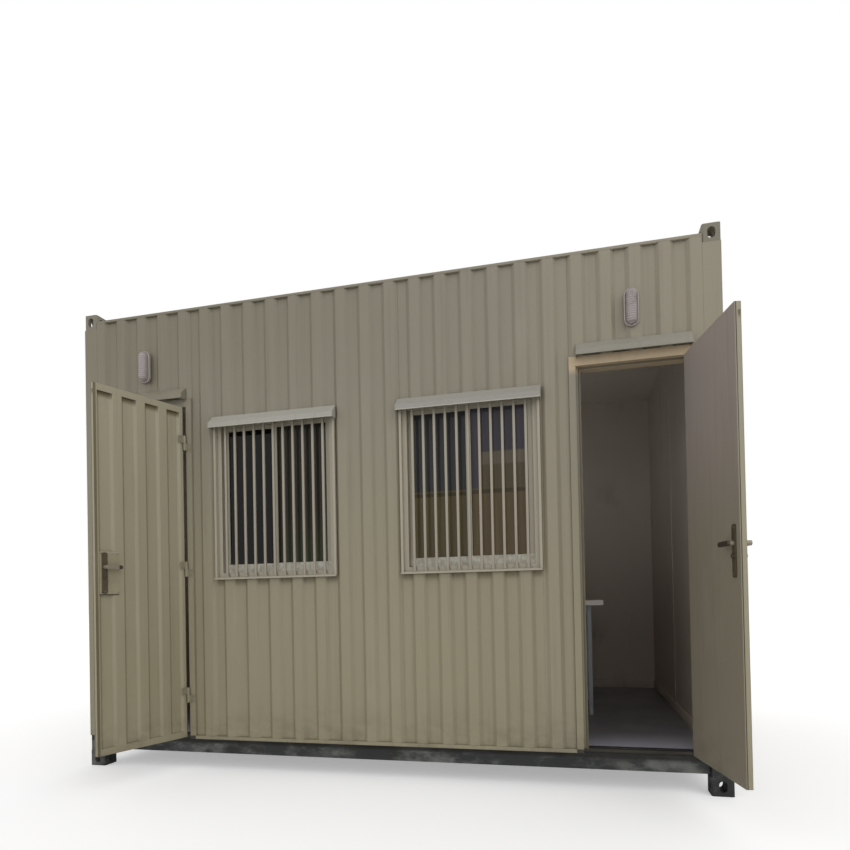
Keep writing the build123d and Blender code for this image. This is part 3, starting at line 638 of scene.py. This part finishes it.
# the lining's darker foot is painted shade
lining_paint = board("lining_paint", srgb(214, 207, 195), 0.55, foot_colour=srgb(168, 156, 142))
ceiling_paint = board("ceiling_paint", srgb(232, 225, 213), 0.55, stains=0.05)
floor_vinyl = floor_sheet("floor_vinyl", srgb(124, 124, 128))
table_laminate = board("table_laminate", srgb(250, 240, 230), 0.4, stains=0.05)
table_steel = painted_steel("table_steel", srgb(172, 176, 180), low_grime=False)
lock_paint = {side: bare_metal(f"{side}_lock_paint", srgb(154, 146, 121), roughness=0.46, wear=0.2,
                               metallic=0.0, overlay=lock_overlay(side)) for side in SIDES}
lever_metal = {side: bare_metal(f"{side}_lever_metal", srgb(154, 147, 131), metallic=0.4,
                                overlay=lever_overlay(side)) for side in SIDES}
pin_metal = bare_metal("pin_metal", srgb(128, 122, 112), roughness=0.4)
tread_metal = bare_metal("tread_metal", srgb(84, 83, 86), roughness=0.55, wear=0.7)
window_glass = window_pane("window_glass")
lamp_glass = lamp_cover("lamp_glass", srgb(186, 176, 174))
lamp_plastic = plastic("lamp_plastic", srgb(150, 146, 138))
lamp_rim = plastic("lamp_rim", srgb(172, 165, 160), dust=0.15)
lamp_seal = plastic("lamp_seal", srgb(110, 103, 98), roughness=0.6)
rubber = plastic("rubber", srgb(34, 33, 31), roughness=0.6)
gasket_rubber = plastic("gasket_rubber", srgb(108, 100, 84), roughness=0.65)
# near-black keyhole plugs: painted shade of the key holes
keyhole_shade = plastic("keyhole_shade", srgb(18, 17, 16), roughness=0.5, dust=0.1)

finishes = {
    wall_paint: ["corner_posts", "top_side_rails", "top_end_rails", "wall_foot_strips",
                 "front_wall_piers", "front_wall_below_windows", "front_wall_above_windows",
                 "front_wall_above_doors", "back_wall", "left_end_wall", "right_end_wall",
                 "left_door_canopy"],
    doorway_paint: ["left_door_frame", "right_door_frame"],
    block_paint: ["top_corner_blocks"],
    leaf_paint["left"]: ["left_door_leaf"],
    leaf_paint["right"]: ["right_door_leaf"],
    frame_paint: ["window_1_frame", "window_2_frame"],
    sash_paint: ["window_1_sashes", "window_2_sashes"],
    canopy_paint: ["window_1_canopy", "window_2_canopy"],
    right_canopy_paint: ["right_door_canopy"],
    roof_paint: ["roof_panel"],
    hinge_paint: ["left_door_frame_hinges", "right_door_frame_hinges", "left_door_hinges",
                  "right_door_hinges"],
    base_paint: ["base_side_rails", "base_end_rails", "bottom_corner_blocks"],
    joist_paint: ["floor_joists"],
    lining_paint: ["front_lining_piers", "front_lining_below_windows",
                   "front_lining_above_windows", "front_lining_above_doors", "back_lining",
                   "left_end_lining", "right_end_lining"],
    ceiling_paint: ["ceiling_board"],
    floor_vinyl: ["floor_board"],
    table_laminate: ["table_top"],
    table_steel: ["table_frame"],
    lock_paint["left"]: ["left_door_lock"],
    lock_paint["right"]: ["right_door_lock"],
    lever_metal["left"]: ["left_door_lever"],
    lever_metal["right"]: ["right_door_lever"],
    window_glass: ["window_1_glass", "window_2_glass"],
    lamp_plastic: ["lamp_bases"],
    lamp_glass: ["lamp_covers"],
}
for material, names in finishes.items():
    for name in names:
        item = frame["nodes"][name]
        if not item.material_slots:
            item.data.materials.append(material)
        for slot in item.material_slots:
            slot.material = material


# -------------------------------------------------- mesh tools
SMOOTH_ANGLE = radians(38)
SCREW_RADIUS = 0.0035
TUBE_STEPS = 8


def rounded_box(mesh, low, high, radius, segments=2):
    """Add a box with rounded edges between two corners."""
    low, high = Vector(low), Vector(high)
    size = high - low
    matrix = Matrix.Translation((low + high) / 2) @ Matrix.Diagonal((*size, 1.0))
    made = bmesh.ops.create_cube(mesh, size=1.0, matrix=matrix)
    edges = list(dict.fromkeys(edge for vertex in made["verts"] for edge in vertex.link_edges))
    bmesh.ops.bevel(mesh, geom=edges, offset=radius, segments=segments, affect="EDGES", profile=0.5)


def ring(mesh, centre, first, second, steps):
    """Add a ring of vertices round a centre, spanned by two half axes."""
    turns = [2 * pi * step / steps for step in range(steps)]
    return [mesh.verts.new(centre + first * cos(turn) + second * sin(turn)) for turn in turns]


def skin(mesh, first, second):
    """Add the faces between two rings; a ring of one vertex closes the end."""
    steps = max(len(first), len(second))
    for step in range(steps):
        after = (step + 1) % steps
        corners = [first[step % len(first)], first[after % len(first)],
                   second[after % len(second)], second[step % len(second)]]
        mesh.faces.new(list(dict.fromkeys(corners)))


def turned(mesh, profile, place, steps):
    """Add a turned solid: (radius, height) points from the axis out and back, round place's Z."""
    first, second, along = (place.col[index].xyz for index in range(3))
    rings = [ring(mesh, place.translation + height * along, radius * first, radius * second,
                  steps if radius else 1) for radius, height in profile]
    for first, second in zip(rings, rings[1:]):
        skin(mesh, first, second)


def rod(mesh, place, radius, low, high, steps):
    """Add a plain cylinder round place's Z, between two heights."""
    turned(mesh, [(0.0, low), (radius, low), (radius, high), (0.0, high)], place, steps)


def close_tube(mesh, rings):
    """Skin a chain of rings that runs back to its start."""
    for index, first in enumerate(rings):
        skin(mesh, first, rings[(index + 1) % len(rings)])


def facing(point, direction):
    """Placement at a point whose Z runs along a direction."""
    turn = Vector(direction).to_track_quat("Z", "Y").to_matrix().to_4x4()
    return Matrix.Translation(point) @ turn


def add_screw(mesh, point, direction, radius=SCREW_RADIUS):
    """A domed screw head with a socket in its middle."""
    shares = ((0.0, 0.25), (0.35, 0.25), (0.42, 0.62), (0.75, 0.5), (1.0, 0.1), (1.0, -0.2),
              (0.0, -0.2))
    profile = [(radius * out, radius * rise) for out, rise in shares]
    turned(mesh, profile, facing(point, direction), steps=10)


def finish_piece(name, mesh, material, body, matrix=None):
    """Turn a bmesh into a named piece of the scene that rides on a body."""
    bmesh.ops.recalc_face_normals(mesh, faces=mesh.faces)
    data = bpy.data.meshes.new(name)
    mesh.to_mesh(data)
    mesh.free()
    if matrix:
        data.transform(matrix)
    data.materials.append(material)
    piece = bpy.data.objects.new(name, data)
    bpy.context.scene.collection.objects.link(piece)
    data.shade_smooth()
    data.set_sharp_from_angle(angle=SMOOTH_ANGLE)
    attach(piece, body)


# -------------------------------------------------- window bars and glazing beads
BAR_COUNT = 11
BAR_PITCH = 0.0633
BAR_WIDTH = 0.014
BAR_DEPTH = 0.013
BAR_PROUD = 0.004
BAR_EDGE = 0.0018
BAR_END_GAP = 0.014
FOOT_WIDTH = 0.022
FOOT_HEIGHT = 0.008
FOOT_PROUD = 0.001
FOOT_BACK = 0.006
FOOT_EDGE = 0.0025
BEAD_RADIUS = 0.0025
BEAD_CORNER = 1.0461
BEAD_SETBACK = 0.007
BEAD_LAP = 0.004


def bead_loop(mesh, left, right, y, low, high):
    """Add a round bead along the four edges of a pane; its corner rings are a little wider."""
    corners = ((left, low, -1, -1), (right, low, 1, -1), (right, high, 1, 1), (left, high, -1, 1))
    rings = []
    for x, z, out_x, out_z in corners:
        out = Vector((out_x, 0.0, out_z)).normalized() * BEAD_CORNER
        rings.append(ring(mesh, Vector((x, y, z)), BEAD_RADIUS * out,
                          Vector((0.0, -BEAD_RADIUS, 0.0)), TUBE_STEPS))
    close_tube(mesh, rings)


for number in WINDOWS:
    low, high = window_boxes[number]
    middle = (low.x + high.x) / 2
    bottom, top = low.z + BAR_END_GAP, high.z - BAR_END_GAP
    front = pier_face - BAR_PROUD
    bars = bmesh.new()
    for index in range(BAR_COUNT):
        x = middle + (index - (BAR_COUNT - 1) / 2) * BAR_PITCH
        rounded_box(bars, (x - BAR_WIDTH / 2, front, bottom),
                    (x + BAR_WIDTH / 2, front + BAR_DEPTH, top), BAR_EDGE)
        for foot in (bottom, top - FOOT_HEIGHT):
            rounded_box(bars, (x - FOOT_WIDTH / 2, front - FOOT_PROUD, foot),
                        (x + FOOT_WIDTH / 2, front + BAR_DEPTH + FOOT_BACK, foot + FOOT_HEIGHT),
                        FOOT_EDGE)
    finish_piece(f"window_{number}_bars", bars, bar_paint, "cabin")

    glass_low, glass_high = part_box(f"window_{number}_glass")
    sash_low, sash_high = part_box(f"window_{number}_sashes")
    sash_middle = (sash_low + sash_high) / 2
    lap = (glass_low.x - sash_low.x) / 2 - BEAD_LAP
    beads = bmesh.new()
    for left, right, sash_face in ((sash_middle.x + lap, glass_high.x, sash_low.y),
                                   (glass_low.x, sash_middle.x - lap, sash_middle.y)):
        bead_loop(beads, left, right, sash_face + BEAD_SETBACK, glass_low.z, glass_high.z)
    finish_piece(f"window_{number}_glazing_beads", beads, rubber, "cabin")

# -------------------------------------------------- window catches and inner trims
LINING_TRIM = 0.045
TRIM_THICKNESS = 0.009
TRIM_EDGE = 0.002
CATCH_SIZE = Vector((0.016, 0.014, 0.07))
CATCH_EDGE = 0.003
CATCH_SCREW = 0.003
CATCH_SCREW_SPREAD = 0.048


def flat_loop(mesh, low, high, width, y0, y1, radius):
    """Four flat strips laid round an opening that spans low to high in X and Z."""
    rounded_box(mesh, (low.x - width, y0, low.z - width), (low.x, y1, high.z + width), radius)
    rounded_box(mesh, (high.x, y0, low.z - width), (high.x + width, y1, high.z + width), radius)
    rounded_box(mesh, (low.x, y0, low.z - width), (high.x, y1, low.z), radius)
    rounded_box(mesh, (low.x, y0, high.z), (high.x, y1, high.z + width), radius)


for number in WINDOWS:
    trims = bmesh.new()
    flat_loop(trims, *window_boxes[number], LINING_TRIM, lining_face, lining_face + TRIM_THICKNESS,
              TRIM_EDGE)
    finish_piece(f"window_{number}_inner_trims", trims, lining_paint, "cabin")
    sash_low, sash_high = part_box(f"window_{number}_sashes")
    back = Vector(((sash_low.x + sash_high.x) / 2, sash_high.y, (sash_low.z + sash_high.z) / 2))
    catches = bmesh.new()
    rounded_box(catches, back - Vector((CATCH_SIZE.x / 2, 0.0, CATCH_SIZE.z / 2)),
                back + Vector((CATCH_SIZE.x / 2, CATCH_SIZE.y, CATCH_SIZE.z / 2)), CATCH_EDGE)
    for rise in (-CATCH_SCREW_SPREAD / 2, CATCH_SCREW_SPREAD / 2):
        add_screw(catches, back + Vector((0.0, CATCH_SIZE.y, rise)), (0, 1, 0), CATCH_SCREW)
    finish_piece(f"window_{number}_catch", catches, pin_metal, "cabin")

# -------------------------------------------------- doorways, hinges and locks
HINGE_GAP = 0.003
LATCH_GAP = 0.008
HEAD_GAP = 0.006
SIDE_STOP = 0.024
HEAD_STOP = 0.012
STOP_FACE = 0.035
GASKET_WIDTH = 0.010
GASKET_THICKNESS = 0.002
GASKET_INSET = 0.002
HEAD_GASKET_INSET = 0.001
GASKET_EDGE = 0.0009
TREAD_WIDTH = 0.034
TREAD_THICKNESS = 0.003
TREAD_PROUD = 0.004
TREAD_EDGE = 0.001
TREAD_SCREWS = 5
HINGE_RISES = (0.212, 0.984, 1.761)
KNUCKLE = 0.045
KNUCKLE_PLAY = 0.001
PLATE_MIDDLE = 0.0255
PLATE_THICKNESS = 0.004
PLATE_SCREW_SPREAD = 0.026
CAP_RADIUS = 0.0062
CAP_TIP = 0.004
LOWER_CAP = 0.002
UPPER_CAP = 0.0022
CYLINDER_DROP = 0.055
CYLINDER_PROUD = 0.009
KEYHOLE_RADIUS = 0.0022
KEYHOLE_RISE = 0.0016
KEY_SLOT_WIDTH = 0.0018
KEY_SLOT_FOOT = -0.0048
KEY_SLOT_TOP = 0.0008
KEY_SLOT_EDGE = 0.0002
KEY_DEPTH = 0.0004
ESCUTCHEON_SCREW_INSET = 0.018
COVER_SCREW_INSET = 0.012
COVER_SCREW_SIDE_INSET = 0.008
COVER_SCREW = 0.0032

for side in SIDES:
    place, (leaf_low, leaf_high) = leaf_places[side], leaf_boxes[side]
    hinge = place.translation
    spot = lever_spots[side]
    outward = place.col[1].xyz
    frame_low, frame_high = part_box(f"{side}_door_frame")
    clear_right = hinge.x + HINGE_GAP - SIDE_STOP
    clear_left = hinge.x - leaf_high.x - LATCH_GAP + SIDE_STOP
    clear_top = leaf_high.z + HEAD_GAP - HEAD_STOP
    stop = frame_low.y + STOP_FACE
    gaskets = bmesh.new()
    for x in (clear_left - GASKET_WIDTH - GASKET_INSET, clear_right + GASKET_INSET):
        rounded_box(gaskets, (x, stop - GASKET_THICKNESS, floor_top),
                    (x + GASKET_WIDTH, stop, clear_top + GASKET_WIDTH), GASKET_EDGE)
    head = clear_top + HEAD_GASKET_INSET
    rounded_box(gaskets, (clear_left - GASKET_INSET, stop - GASKET_THICKNESS, head),
                (clear_right + GASKET_INSET, stop, head + GASKET_WIDTH), GASKET_EDGE)
    finish_piece(f"{side}_door_gaskets", gaskets, gasket_rubber, "cabin")

    tread = bmesh.new()
    inside = frame_high.y + TREAD_PROUD
    tread_top = floor_top + TREAD_THICKNESS
    rounded_box(tread, (clear_left, inside - TREAD_WIDTH, floor_top),
                (clear_right, inside, tread_top), TREAD_EDGE)
    for step in range(TREAD_SCREWS):
        x = clear_left + (step + 0.5) * (clear_right - clear_left) / TREAD_SCREWS
        add_screw(tread, Vector((x, inside - TREAD_WIDTH / 2, tread_top)), (0, 0, 1))
    finish_piece(f"{side}_door_tread", tread, tread_metal, "cabin")

    fixed, moving = bmesh.new(), bmesh.new()
    for rise in HINGE_RISES:
        lower_z = leaf_low.z + rise
        upper_z = lower_z + KNUCKLE + KNUCKLE_PLAY
        for offset in (-PLATE_SCREW_SPREAD / 2, PLATE_SCREW_SPREAD / 2):
            above = KNUCKLE / 2 + offset
            lower = Vector((hinge.x + PLATE_MIDDLE, frame_low.y - PLATE_THICKNESS, lower_z + above))
            add_screw(fixed, lower, (0, -1, 0))
            upper = Vector((PLATE_MIDDLE, leaf_high.y + PLATE_THICKNESS, upper_z + above))
            add_screw(moving, place @ upper, outward)
        turned(fixed, [(0.0, -LOWER_CAP), (CAP_TIP, -LOWER_CAP), (CAP_RADIUS, 0.0), (0.0, 0.0)],
               Matrix.Translation((hinge.x, hinge.y, lower_z)), steps=14)
        turned(moving, [(0.0, 0.0), (CAP_RADIUS, 0.0), (CAP_TIP, UPPER_CAP), (0.0, UPPER_CAP)],
               Matrix.Translation((hinge.x, hinge.y, upper_z + KNUCKLE)), steps=14)
    finish_piece(f"{side}_door_frame_hinge_fixings", fixed, pin_metal, "cabin")
    finish_piece(f"{side}_door_hinge_fixings", moving, pin_metal, f"{side}_door")

    lock_low, lock_high = lock_boxes[side]
    cylinder_z = spot.z - CYLINDER_DROP
    # the keyholes are near-black plugs on the faces: painted shade of the holes
    keyholes, fixings = bmesh.new(), bmesh.new()
    for face, turn in ((lock_high.y, 1), (lock_low.y, -1)):
        rounded_box(keyholes,
                    (spot.x - KEY_SLOT_WIDTH / 2, face - KEY_DEPTH, cylinder_z + KEY_SLOT_FOOT),
                    (spot.x + KEY_SLOT_WIDTH / 2, face + KEY_DEPTH, cylinder_z + KEY_SLOT_TOP),
                    KEY_SLOT_EDGE, segments=1)
        rod(keyholes, facing(Vector((spot.x, face, cylinder_z + KEYHOLE_RISE)), (0, turn, 0)),
            KEYHOLE_RADIUS, -KEY_DEPTH, KEY_DEPTH, steps=14)
        for screw_z in (lock_high.z - ESCUTCHEON_SCREW_INSET, lock_low.z + ESCUTCHEON_SCREW_INSET):
            point = Vector((spot.x, face - turn * CYLINDER_PROUD, screw_z))
            add_screw(fixings, point, (0, turn, 0))
    for x in (lock_low.x + COVER_SCREW_SIDE_INSET, lock_high.x - COVER_SCREW_SIDE_INSET):
        for screw_z in (lock_high.z - COVER_SCREW_INSET, lock_low.z + COVER_SCREW_INSET):
            point = Vector((x, leaf_high.y + LOCK_BOX_DEPTH, screw_z))
            add_screw(fixings, point, (0, 1, 0), COVER_SCREW)
    finish_piece(f"{side}_door_keyholes", keyholes, keyhole_shade, f"{side}_door", place)
    finish_piece(f"{side}_door_lock_screws", fixings, pin_metal, f"{side}_door",
                 place)

# -------------------------------------------------- canopies
HEM_RADIUS = 0.0028
HEM_SETBACK = 0.0015
# the window canopies' hems take a paler paint, a painted highlight along the rolled edge
hem_materials = {"window_1_canopy": hem_highlight_paint, "window_2_canopy": hem_highlight_paint,
                 "left_door_canopy": wall_paint, "right_door_canopy": right_canopy_paint}
for name, material in hem_materials.items():
    low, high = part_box(name)
    hem = bmesh.new()
    rod(hem, facing(Vector((low.x, low.y + HEM_SETBACK, low.z + HEM_RADIUS)), (1, 0, 0)),
        HEM_RADIUS, 0.0, high.x - low.x, steps=10)
    finish_piece(f"{name}_hem", hem, material, "cabin")

# -------------------------------------------------- lamps
LAMP_WIDTH = 0.074
RIM_LOOP = 0.0335
RIM_RADIUS = 0.0036
RIM_SETBACK = 0.001
SEAL_LOOP = 0.0288
SEAL_RADIUS = 0.0016
SEAL_SETBACK = 0.0008
RIM_SCREW = 0.0034
RIM_SCREW_PROUD = 0.0026
RIB_COUNT = 9
RIB_PITCH = 0.0135
RIB_HALF_WIDTH = 0.0275
RIB_RADIUS = 0.0016
RIB_INSET = 0.0022
RIB_FULLNESS = 0.45
RIB_PARTS = 12
ARC_PARTS = 10

lamp_low, lamp_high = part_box("lamp_bases")
lamp_face = lamp_low.y
lamp_z = (lamp_low.z + lamp_high.z) / 2
straight = (lamp_high.z - lamp_low.z - LAMP_WIDTH) / 2
rib_depth = lamp_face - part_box("lamp_covers")[0].y - RIB_INSET


def slot_tube(mesh, x, y, loop, radius):
    """Add a round tube along an upright slot shape, loop being its half width."""
    turns = [pi * step / ARC_PARTS for step in range(ARC_PARTS + 1)]
    points = [Vector((x + end * loop * cos(turn), y, lamp_z + end * (straight + loop * sin(turn))))
              for end in (1, -1) for turn in turns]
    rings = []
    for index, point in enumerate(points):
        run = (points[(index + 1) % len(points)] - points[index - 1]).normalized()
        side = Vector((run.z, 0.0, -run.x))
        rings.append(ring(mesh, point, radius * side, Vector((0.0, radius, 0.0)), TUBE_STEPS))
    close_tube(mesh, rings)


rims, seals, ribs = bmesh.new(), bmesh.new(), bmesh.new()
for x in (lamp_low.x + LAMP_WIDTH / 2, lamp_high.x - LAMP_WIDTH / 2):
    slot_tube(rims, x, lamp_face + RIM_SETBACK, RIM_LOOP, RIM_RADIUS)
    slot_tube(seals, x, lamp_face + SEAL_SETBACK, SEAL_LOOP, SEAL_RADIUS)
    for end in (-1, 1):
        point = Vector((x, lamp_face - RIM_SCREW_PROUD, lamp_z + end * (straight + RIM_LOOP)))
        add_screw(rims, point, (0, -1, 0), RIM_SCREW)
    for rib in range(RIB_COUNT):
        level = lamp_z + (rib - (RIB_COUNT - 1) / 2) * RIB_PITCH
        turns = [pi * step / RIB_PARTS for step in range(RIB_PARTS + 1)]
        points = [Vector((x - RIB_HALF_WIDTH * cos(turn),
                          lamp_face - rib_depth * sin(turn) ** RIB_FULLNESS, level))
                  for turn in turns]
        for first, second in zip(points, points[1:]):
            run = second - first
            rod(ribs, facing(first, run), RIB_RADIUS, 0.0, run.length, steps=6)
finish_piece("lamp_rims", rims, lamp_rim, "cabin")
finish_piece("lamp_seals", seals, lamp_seal, "cabin")
finish_piece("lamp_ribs", ribs, lamp_glass, "cabin")

# -------------------------------------------------- room
SKIRTING_HEIGHT = 0.07
SKIRTING_THICKNESS = 0.010
JOINT_STRIP_WIDTH = 0.04
JOINT_STRIP_THICKNESS = 0.004
JOINT_STRIP_EDGE = 0.0012
BOARD_WIDTH = 1.2

room_low = Vector((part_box("left_end_lining")[1].x, lining_face, floor_top))
room_high = Vector((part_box("right_end_lining")[0].x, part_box("back_lining")[0].y,
                    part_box("ceiling_board")[0].z))
skirting_top = room_low.z + SKIRTING_HEIGHT
half_strip = JOINT_STRIP_WIDTH / 2
trims = bmesh.new()
rounded_box(trims, (room_low.x, room_high.y - SKIRTING_THICKNESS, room_low.z),
            (room_high.x, room_high.y, skirting_top), TRIM_EDGE)
for x in (room_low.x, room_high.x - SKIRTING_THICKNESS):
    rounded_box(trims, (x, room_low.y, room_low.z),
                (x + SKIRTING_THICKNESS, room_high.y, skirting_top), TRIM_EDGE)
for x in (-BOARD_WIDTH, 0.0, BOARD_WIDTH):
    rounded_box(trims, (x - half_strip, room_high.y - JOINT_STRIP_THICKNESS, skirting_top),
                (x + half_strip, room_high.y, room_high.z), JOINT_STRIP_EDGE)
    rounded_box(trims, (x - half_strip, room_low.y, room_high.z - JOINT_STRIP_THICKNESS),
                (x + half_strip, room_high.y, room_high.z), JOINT_STRIP_EDGE)
for x in (room_low.x, room_high.x - JOINT_STRIP_THICKNESS):
    rounded_box(trims, (x, -half_strip, skirting_top),
                (x + JOINT_STRIP_THICKNESS, half_strip, room_high.z), JOINT_STRIP_EDGE)
finish_piece("room_trims", trims, lining_paint, "cabin")

# -------------------------------------------------- studio floor
FLOOR_SIZE = 60.0
FLOOR_COLOUR = (0.8, 0.8, 0.8, 1.0)
FLOOR_GLOW = 0.36

floor_mesh = bmesh.new()
bmesh.ops.create_grid(floor_mesh, x_segments=2, y_segments=2, size=FLOOR_SIZE)
floor_data = bpy.data.meshes.new("studio_floor")
floor_mesh.to_mesh(floor_data)
floor_mesh.free()
studio_floor = bpy.data.objects.new("studio_floor", floor_data)
bpy.context.scene.collection.objects.link(studio_floor)

backdrop = Finish("studio_floor", FLOOR_COLOUR, 0.9)
backdrop.shader.inputs["Specular IOR Level"].default_value = 0.0
seen = backdrop.add("ShaderNodeLightPath").outputs["Is Camera Ray"]
glow = backdrop.add("ShaderNodeEmission")
backdrop.feed(glow.inputs["Strength"], backdrop.maths("MULTIPLY", seen, FLOOR_GLOW))
total = backdrop.add("ShaderNodeAddShader")
backdrop.feed(total.inputs[0], backdrop.shader.outputs["BSDF"])
backdrop.feed(total.inputs[1], glow.outputs["Emission"])
output = next(node for node in backdrop.tree.nodes if node.type == "OUTPUT_MATERIAL")
backdrop.feed(output.inputs["Surface"], total.outputs["Shader"])
floor_data.materials.append(backdrop.done())

# -------------------------------------------------- daylight and room light
ZENITH_LIGHT = 0.74
HORIZON_LIGHT = 1.02
SUN_STRENGTH = 0.36
SUN_SOFTNESS = radians(40)
SUN_FROM = Vector((0.58, -0.58, 0.57))
ROOM_LIGHT_POWER = 1.6
ROOM_LIGHT_SIZE = 0.35
ROOM_LIGHT_PLACE = (0.6, 0.2, 1.95)

world = bpy.data.worlds.new("studio")
bpy.context.scene.world = world
world.use_nodes = True
nodes, links = world.node_tree.nodes, world.node_tree.links
sky = nodes["Background"]
sky.inputs["Color"].default_value = (1.0, 1.0, 1.0, 1.0)
path = nodes.new("ShaderNodeLightPath")
seen = path.outputs["Is Camera Ray"]
for name in ("Is Glossy Ray", "Is Transmission Ray"):
    either = nodes.new("ShaderNodeMath")
    either.operation = "MAXIMUM"
    links.new(seen, either.inputs[0])
    links.new(path.outputs[name], either.inputs[1])
    seen = either.outputs["Value"]
strength = nodes.new("ShaderNodeMapRange")
links.new(seen, strength.inputs["Value"])
direction = nodes.new("ShaderNodeTexCoord")
split = nodes.new("ShaderNodeSeparateXYZ")
links.new(direction.outputs["Generated"], split.inputs["Vector"])
fade = nodes.new("ShaderNodeMapRange")
links.new(split.outputs["Z"], fade.inputs["Value"])
fade.inputs["To Min"].default_value = HORIZON_LIGHT
fade.inputs["To Max"].default_value = ZENITH_LIGHT
links.new(fade.outputs["Result"], strength.inputs["To Min"])
strength.inputs["To Max"].default_value = 1.0
links.new(strength.outputs["Result"], sky.inputs["Strength"])

sun_data = bpy.data.lights.new("sun", "SUN")
sun_data.energy = SUN_STRENGTH
sun_data.angle = SUN_SOFTNESS
sun = bpy.data.objects.new("sun", sun_data)
sun.rotation_mode = "QUATERNION"
sun.rotation_quaternion = SUN_FROM.to_track_quat("Z", "Y")
bpy.context.scene.collection.objects.link(sun)

glow_data = bpy.data.lights.new("room_glow", "POINT")
glow_data.energy = ROOM_LIGHT_POWER
glow_data.shadow_soft_size = ROOM_LIGHT_SIZE
room_glow = bpy.data.objects.new("room_glow", glow_data)
room_glow.location = ROOM_LIGHT_PLACE
room_glow.visible_camera = False
room_glow.visible_glossy = False
room_glow.visible_transmission = False
bpy.context.scene.collection.objects.link(room_glow)

bpy.context.scene.view_settings.view_transform = "Standard"
